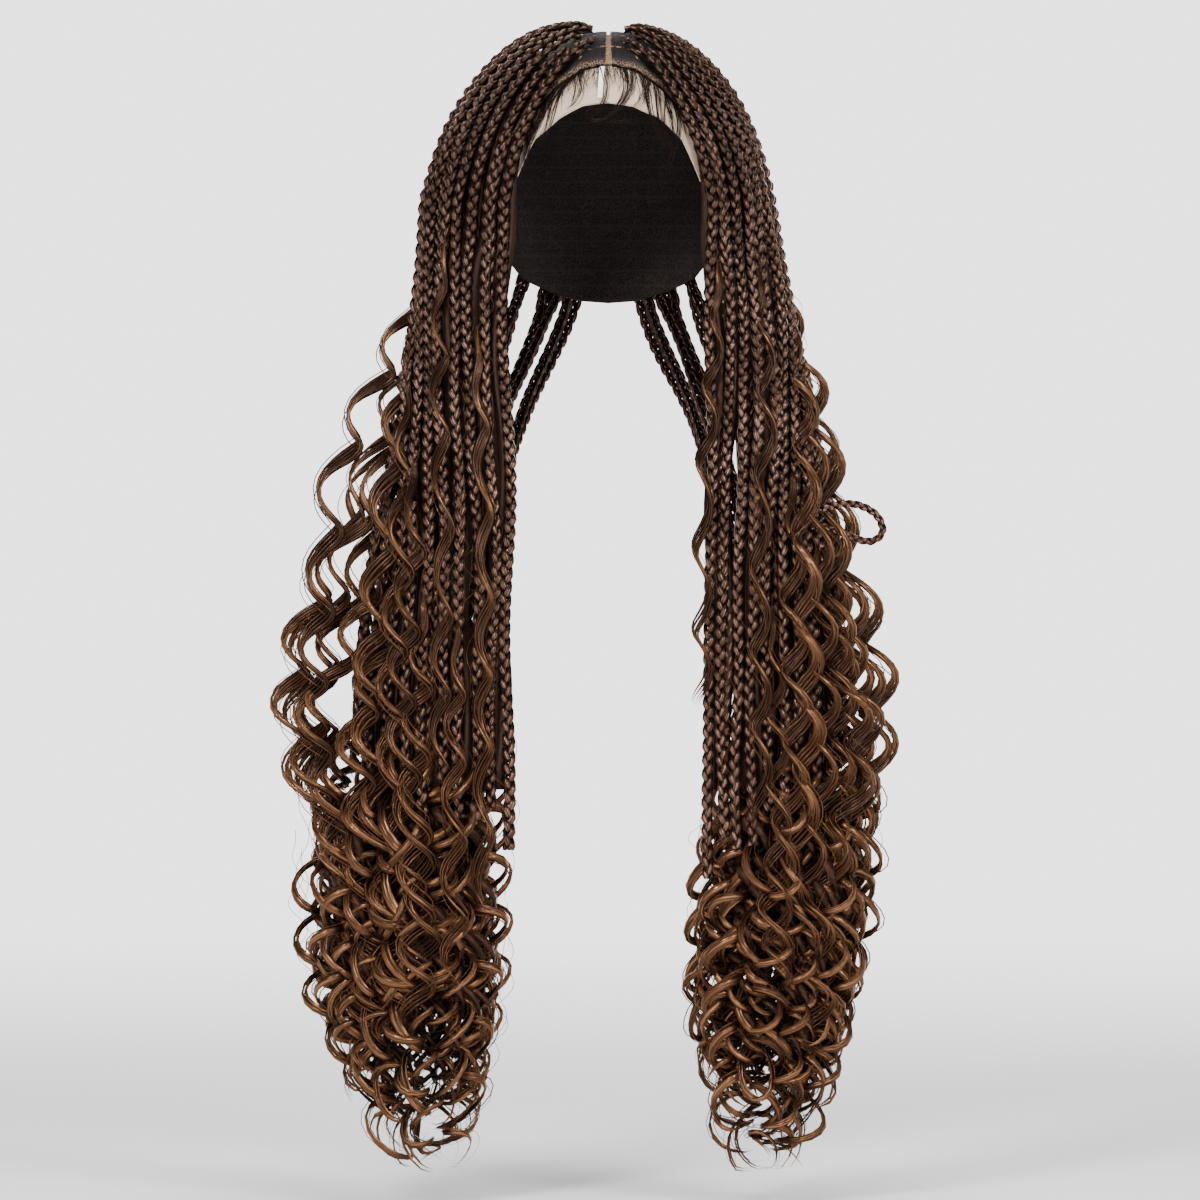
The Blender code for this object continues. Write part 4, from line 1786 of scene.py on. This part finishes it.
@dataclass
class CrownHair(SidedHair):
    """The flat hair on each half of the cap, combed outward from the parting."""

    hollow: HollowForm
    low: float = 2.35 * MM
    high: float = 3.6 * MM
    parting_half_width: float = 0.9 * MM
    azimuth_steps: int = 84
    polar_steps: int = 36
    row_spacing: float = 21 * MM
    first_row: float = -17 * MM
    column_places: Triple = (17 * MM, 30 * MM, 43 * MM)
    parting_line: float = 0.8 * MM
    # Azimuth from the front and polar angle of the hair's lower edge, in degrees
    edge: Table = (
        (0, 33.2), (20, 36.0), (35, 44.5), (45, 55.5), (60, 67.0), (90, 72.0), (135, 82.0), (180, 86.0)
    )
    # How far round the knots show along the hairline, in degrees, and how strongly
    knot_reach: float = 56
    knot_from: float = 0.84
    knot_over: float = 0.14
    knot_share: float = 0.36

    def build_side(self, side: Side) -> list[Piece]:
        """Builds one half in place of the frame's.

        Args:
            side: its side.

        Returns:
            The piece.
        """
        rng = np.random.default_rng(5 + side.value)
        azimuth = np.linspace(0, 180, self.azimuth_steps + 1)
        edges = np.array(self.edge)
        last = np.interp(azimuth, edges[:, 0], edges[:, 1])
        ragged = 0.12 * np.sin(azimuth * 0.9) + rng.normal(0, 0.1, len(azimuth))
        last = last + ragged * (azimuth < 60)
        share = np.linspace(0.02, 1, self.polar_steps + 1)
        polar = last[:, None] * share[None]
        around = np.broadcast_to(side.value * azimuth[:, None], polar.shape)
        base = self.hollow.point(around, polar, self.high)
        line = self.partings(base)
        near = azimuth[:, None] < self.knot_reach
        knots = smooth_step((share[None] - self.knot_from) / self.knot_over) * near * self.knot_share
        line = np.maximum(line, knots)
        thin = smooth_step((1 - share[None]) * 9) * (1 - 0.75 * line)
        grow = self.low + (self.high - self.low) * (0.35 + 0.65 * thin)
        outside = self.hollow.point(around, polar, grow)
        inside = self.hollow.point(around, polar, np.full_like(polar, self.low))
        shift = np.array([side.value * self.parting_half_width, 0, 0])
        return [self.close(side, outside + shift, inside + shift, line, azimuth, polar)]

    def partings(self, points: Array) -> Array:
        """Finds how near each point is to a parting between sections, from 0 to 1.

        Args:
            points: the points.

        Returns:
            Their shares.
        """
        x = np.abs(points[..., 0])
        y = points[..., 1] + 1.2 * MM * np.sin(x / (7 * MM))
        rows = np.abs((y - self.first_row + self.row_spacing / 2) % self.row_spacing - self.row_spacing / 2)
        line = 1 - smooth_step(rows / self.parting_line)
        sway = 1.0 * MM * np.sin(points[..., 1] / (9 * MM))
        for place in self.column_places:
            line = np.maximum(line, 0.8 * (1 - smooth_step(np.abs(x + sway - place) / self.parting_line)))
        line = line * (y > -50 * MM)
        y = points[..., 1]
        ragged = 0.25 * MM * np.sin(y / (1.7 * MM)) + 0.2 * MM * np.sin(y / (4.1 * MM))
        middle = 0.8 * (1 - smooth_step((x - 0.2 * MM + ragged) / (0.7 * MM)))
        return np.maximum(line, middle)

    def close(
        self, side: Side, outside: Array, inside: Array, line: Array, azimuth: Array, polar: Array
    ) -> Piece:
        """Makes the closed shell and its map.

        Args:
            side: the half's side.
            outside: its outer points.
            inside: its inner points.
            line: how near each is to a parting.
            azimuth: the columns' angles.
            polar: the points' angles down.

        Returns:
            The piece.
        """
        points, faces = shell(outside, inside, 1 if side is Side.RIGHT else -1)
        sizes = np.full(len(faces), 4)
        piece = mesh_piece(f"combed_crown_{side.word}", points, faces.reshape(-1), sizes, self.material)
        flow = np.stack([np.broadcast_to(azimuth[:, None] / 180, polar.shape), polar / 90], -1).reshape(-1, 2)
        flow[:, 0] *= 1 + 0.02 * np.sin(flow[:, 1] * 12)
        both = np.concatenate([flow, flow])
        put_map(piece.data, both[faces.reshape(-1)])
        put_value(piece.data, PARTING, np.concatenate([line.reshape(-1), line.reshape(-1)]))
        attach(piece, "root")
        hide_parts(f"crown_hair_{side.word}")
        return piece


@dataclass
class LaceFront:
    """The net band in front of the hairline, with a softly uneven cut edge."""

    hollow: HollowForm
    low: float = 0.35 * MM
    wall: float = 0.75 * MM
    across_steps: int = 110
    down_steps: int = 16
    hairline: Table = ((0, 33.4), (20, 35.9), (35, 44.4), (45, 56.4), (52, 72.4))
    cut: Table = ((0, 50.0), (15, 51.5), (28, 56.0), (40, 63.5), (46, 74.0), (52, 84.0))
    ripple: float = 0.22
    half_reach: float = 52
    knot_band: float = 0.28
    material: Material | None = None

    def build(self) -> Piece:
        """Builds the lace in place of the frame's."""
        azimuth = np.linspace(-self.half_reach, self.half_reach, self.across_steps + 1)
        start = np.interp(np.abs(azimuth), *np.array(self.hairline, float).T)
        end = np.interp(np.abs(azimuth), *np.array(self.cut, float).T)
        end = end + self.ripple * (np.sin(azimuth * 0.16) + 0.4 * np.sin(azimuth * 0.37 + 1))
        share = np.linspace(0, 1, self.down_steps + 1)
        polar = start[:, None] + (end - start)[:, None] * share[None]
        around = np.broadcast_to(azimuth[:, None], polar.shape)
        lift = 0.25 * MM * np.sin(np.radians(around) * 14) * share[None] ** 2
        outside = self.hollow.point(around, polar, self.low + self.wall + lift)
        inside = self.hollow.point(around, polar, self.low + lift)
        points, faces = shell(outside, inside)
        piece = mesh_piece("lace_band", points, faces.reshape(-1), np.full(len(faces), 4), self.material)
        near = 1 - smooth_step(share[None] / self.knot_band)
        near = np.broadcast_to(near, polar.shape).reshape(-1)
        put_value(piece.data, PARTING, np.concatenate([near, near]))
        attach(piece, "root")
        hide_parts("lace_front")
        return piece


@dataclass
class BabyHairs:
    """The fine dark hairs that are swept down over the lace, and the wisps along the hairline."""

    hollow: HollowForm
    grow: float = 1.5 * MM
    radius: float = 0.19 * MM
    points: int = 26
    reaches: Pair = (0.6, 1.0)
    wisp_count: int = 210
    wisp_reach: float = 44
    # Azimuth and polar angle of the line that the wisps start from, in degrees
    wisp_line: Table = ((0, 20, 35, 45), (32.6, 35.2, 43.6, 55.5))
    wisp_lengths: Pair = (4, 15)
    material: Material | None = None
    # Each sweep: how many hairs, how far apart they start and end, and a route across and up in millimetres
    sweeps: Table = (
        (30, 8.0, 2.0, ((-27, -21), (-34, -30), (-41, -42), (-46, -56), (-50, -70), (-54, -88))),
        (14, 6.0, 2.5, ((-38, -27), (-44, -38), (-47, -50), (-50, -62), (-52, -74))),
        (14, 5.0, 3.0, ((-15, -18), (-26, -25), (-33, -36), (-37, -50), (-41, -62), (-47, -68))),
        (10, 4.0, 0.8, ((12, -18), (13, -30), (7, -41), (-3, -49), (-11, -49), (-12, -44), (-6, -41))),
        (9, 3.4, 1.2, ((-3, -17), (-1, -27), (-2, -37), (-7, -45), (-13, -48), (-14, -44))),
        (6, 4.0, 2.0, ((12, -18), (12, -31), (5, -42), (2, -50), (12, -51), (20, -47))),
        (26, 7.5, 1.6, ((26, -21), (28, -34), (29, -46), (32, -58), (37, -67), (41, -65))),
        (16, 4.5, 2.2, ((34, -26), (37, -38), (40, -52), (40, -64), (37, -76), (35, -88))),
        (10, 4.5, 2.4, ((20, -19), (22, -30), (20, -38), (15, -44))),
        (8, 5.0, 2.4, ((-20, -20), (-17, -30), (-20, -39), (-26, -44))),
    )

    def build(self) -> Piece:
        """Builds all the fine hairs as one piece."""
        rng = np.random.default_rng(9)
        mesh = StrandMesh()
        for count, *apart, route in self.sweeps:
            for _ in range(count):
                self.hair(mesh, np.array(route, float), apart, rng)
        self.wisps(mesh, rng)
        piece = mesh.build("baby_hairs", self.material)
        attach(piece, "root")
        return piece

    def hair(self, mesh: StrandMesh, nodes: Array, apart: list[float], rng: Random) -> None:
        """Adds one hair of a sweep.

        Args:
            mesh: where it goes.
            nodes: the sweep's route.
            apart: how far apart its hairs start and end.
            rng: what its unevenness is drawn from.
        """
        share = np.linspace(0, 1, self.points)
        reached = share * rng.uniform(*self.reaches)
        flat = spline(nodes, reached)
        place = rng.uniform(-1, 1)
        spread = apart[0] + (apart[1] - apart[0]) * smooth_step(reached * 1.2)
        flat[:, 0] += place * spread
        flat[:, 1] -= abs(place) * apart[0] * 0.25 * (1 - reached)
        flat += np.outer(share, rng.normal(0, 0.8, 2))
        flat[:, 0] += rng.normal(0, 0.6) * np.sin(share * 7 + rng.uniform(0, 6))
        lift = self.grow + rng.uniform(0, 1.4) * MM
        path = self.hollow.in_front(flat[:, 0] * MM, flat[:, 1] * MM, lift)
        radii = self.radius * rng.uniform(0.7, 1.15) * smooth_step((1 - share) * 5 + 0.2)
        mesh.round_tube(path, radii, 3, float(rng.uniform(0, 1)))

    def wisps(self, mesh: StrandMesh, rng: Random) -> None:
        """Adds the short wisps that cross the lace from the hairline.

        Args:
            mesh: where they go.
            rng: what their places and sizes are drawn from.
        """
        for _ in range(self.wisp_count):
            azimuth = rng.uniform(-self.wisp_reach, self.wisp_reach)
            polar = np.interp(abs(azimuth), *self.wisp_line)
            length = rng.uniform(*self.wisp_lengths)
            share = np.linspace(0, 1, 10)
            bend = rng.normal(0, 5) * share**2
            grow = self.grow + (0.2 + 0.8 * share) * MM
            path = self.hollow.point(azimuth + bend, polar + length * share, grow)
            radii = self.radius * 0.62 * smooth_step((1 - share) * 4 + 0.1)
            mesh.round_tube(path, radii, 3, float(rng.uniform(0, 1)))


@dataclass
class Flyaways:
    """Single thin hairs that stand off the falls and the curls."""

    sheet: HairSheet
    curls: CurlyEnds
    radius: float = 0.2 * MM
    count: int = 130
    points: int = 26
    # What each hair's start and length are drawn from, and how deep the lowest ends, in millimetres
    starts: Pair = (120, 560)
    lengths: Pair = (40, 110)
    lowest: float = 676
    # The depth below which they stand off the curls instead of the falls
    curls_from: float = 400
    material: Material | None = None

    def build(self) -> Piece:
        """Builds the loose hairs as one piece."""
        rng = np.random.default_rng(21)
        mesh = StrandMesh()
        for number in range(self.count):
            side = Side.LEFT if number % 2 else Side.RIGHT
            begin = rng.uniform(*self.starts)
            span = rng.uniform(*self.lengths)
            depth = np.linspace(begin, min(begin + span, self.lowest), self.points)
            share = np.linspace(0, 1, self.points)
            if begin < self.curls_from:
                held = np.minimum(depth, self.sheet.last_depth)
                axis = self.sheet.point(side, rng.uniform(0.05, 0.7), held)
                axis[:, 0] += side.value * rng.uniform(2, 10) * MM * share
                axis[:, 1] -= 5 * MM
            else:
                held = np.minimum(depth, self.curls.last_section)
                axis = self.curls.section(side, held, rng.uniform(0, 6.28), rng.uniform(0.8, 1.0))
            axis[:, 2] = -depth * MM
            swing = rng.uniform(2, 8) * MM * smooth_step(share * 3)
            turns = depth / rng.uniform(4.5, 8.5) + rng.uniform(0, 6)
            path = Winding(axis, swing, turns, depth_share=0.6).path()
            radii = self.radius * smooth_step((1 - share) * 5 + 0.2)
            mesh.round_tube(path, radii, 3, float(rng.uniform(0, 1)))
        piece = mesh.build("flyaway_hairs", self.material)
        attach(piece, "root")
        return piece


@dataclass
class Studio:
    """The pale floor, the soft lights and the camera at the photo's angle."""

    floor_height: float = -0.70
    floor_size: float = 14.0
    camera_distance: float = 8.0
    frame_width: float = 0.72
    look_at: Triple = (-0.0051, -0.06, -0.338)
    camera_rise: float = 0.28
    sensor: float = 36.0
    horizon_light: float = 2.8
    sky_light: float = 0.2
    # The heights in the sky between which its light falls off
    sky_heights: Pair = (0.11, 0.24)
    # Each soft light: its name, its place, its size and its power
    lamps: Table = (
        ("key", (-0.9, -2.3, 1.2), 0.5, 80),
        ("fill", (1.3, -2.2, 0.6), 0.6, 52),
        ("top", (0.1, -0.2, 1.5), 0.8, 40),
        ("low_front", (0.0, -2.4, -0.6), 0.6, 20),
        ("back_left", (-0.8, 2.4, 1.0), 0.9, 20),
        ("back_right", (0.9, 2.4, 0.6), 0.9, 16),
    )

    def build(self) -> None:
        """Builds the floor, the lights and the camera."""
        self.floor()
        self.lights()
        self.camera()

    def floor(self) -> None:
        """Lays the floor under the wig."""
        half = self.floor_size / 2
        corners = ((-half, -half), (half, -half), (half, half), (-half, half))
        points = np.array([(*corner, self.floor_height) for corner in corners], float)
        floor = mesh_piece("floor", points, np.arange(4), np.array([4]), FloorFinish().make())

    def lights(self) -> None:
        """Sets a pale world and large soft lights."""
        world = bpy.data.worlds.new("studio")
        world.use_nodes = True
        bench = NodeBench(world.node_tree)
        sky = world.node_tree.nodes["Background"]
        sky.inputs["Color"].default_value = (1.0, 1.0, 1.0, 1)
        parts = bench.add("ShaderNodeSeparateXYZ")
        bench.link(bench.add("ShaderNodeTexCoord").outputs["Generated"], parts.inputs[0])
        lights = (self.horizon_light, self.sky_light)
        bench.link(bench.ramp(parts.outputs["Z"], *self.sky_heights, lights), sky.inputs["Strength"])
        bpy.context.scene.world = world
        for lamp in self.lamps:
            self.area(*lamp)

    def area(self, name: str, place: tuple, size: float, power: float) -> None:
        """Adds one soft light that faces the middle of the wig.

        Args:
            name: its name.
            place: where it stands.
            size: its width in metres.
            power: its power in watts.
        """
        data = bpy.data.lights.new(name, "AREA")
        data.size = size
        data.energy = power
        lamp = bpy.data.objects.new(name, data)
        lamp.location = place
        lamp.rotation_euler = (Vector(self.look_at) - Vector(place)).to_track_quat("-Z", "Y").to_euler()
        bpy.context.scene.collection.objects.link(lamp)

    def camera(self) -> None:
        """Sets the camera in front of the wig."""
        data = bpy.data.cameras.new("front_camera")
        data.sensor_width = self.sensor
        data.lens = self.sensor * self.camera_distance / self.frame_width
        data.clip_end = 50
        camera = bpy.data.objects.new("front_camera", data)
        place = Vector(self.look_at) + Vector((0, -self.camera_distance, self.camera_rise))
        camera.location = place
        camera.rotation_euler = (Vector(self.look_at) - place).to_track_quat("-Z", "Y").to_euler()
        bpy.context.scene.collection.objects.link(camera)
        bpy.context.scene.camera = camera


def dress(node: str, material: Material) -> Piece:
    """Gives a node of the frame its finish.

    Args:
        node: the node's name.
        material: its finish.

    Returns:
        The node's object.
    """
    made = bpy.data.objects[node]
    for slot in made.material_slots:
        slot.material = material
    return made


def main() -> None:
    """Builds and dresses the whole wig."""
    logging.basicConfig(level=logging.INFO, format="%(message)s")
    hollow = HollowForm()
    sheet = HairSheet(hollow)
    braid_hair = BRAID_HAIR.make()
    curl_hair = CURL_HAIR.make()
    dark_hair = FINE_DARK_HAIR.make()
    lace = NetFinish("lace_net", (0.50, 0.385, 0.295), (0.39, 0.285, 0.21), 900.0, knot_share=0.9).make()
    report(dress("cap", CapFinish().make()))
    report(dress("front_strip", ClearFinish().make()))
    curls = CurlyEnds(material=curl_hair)
    for piece in (
        *CrownHair(hollow, material=CrownFinish().make()).build(),
        LaceFront(hollow, material=lace).build(),
        *MainBraids(sheet, material=braid_hair).build(),
        *InnerBraids(sheet, material=braid_hair).build(),
        *curls.build(),
        *WavyLocks(sheet, material=curl_hair).build(),
        *InnerHair(sheet, curls, material=INNER_HAIR.make()).build(),
        BabyHairs(hollow, material=dark_hair).build(),
        Flyaways(sheet, curls, material=curl_hair).build(),
    ):
        report(piece)
    Studio().build()


if __name__ == "__main__":
    main()
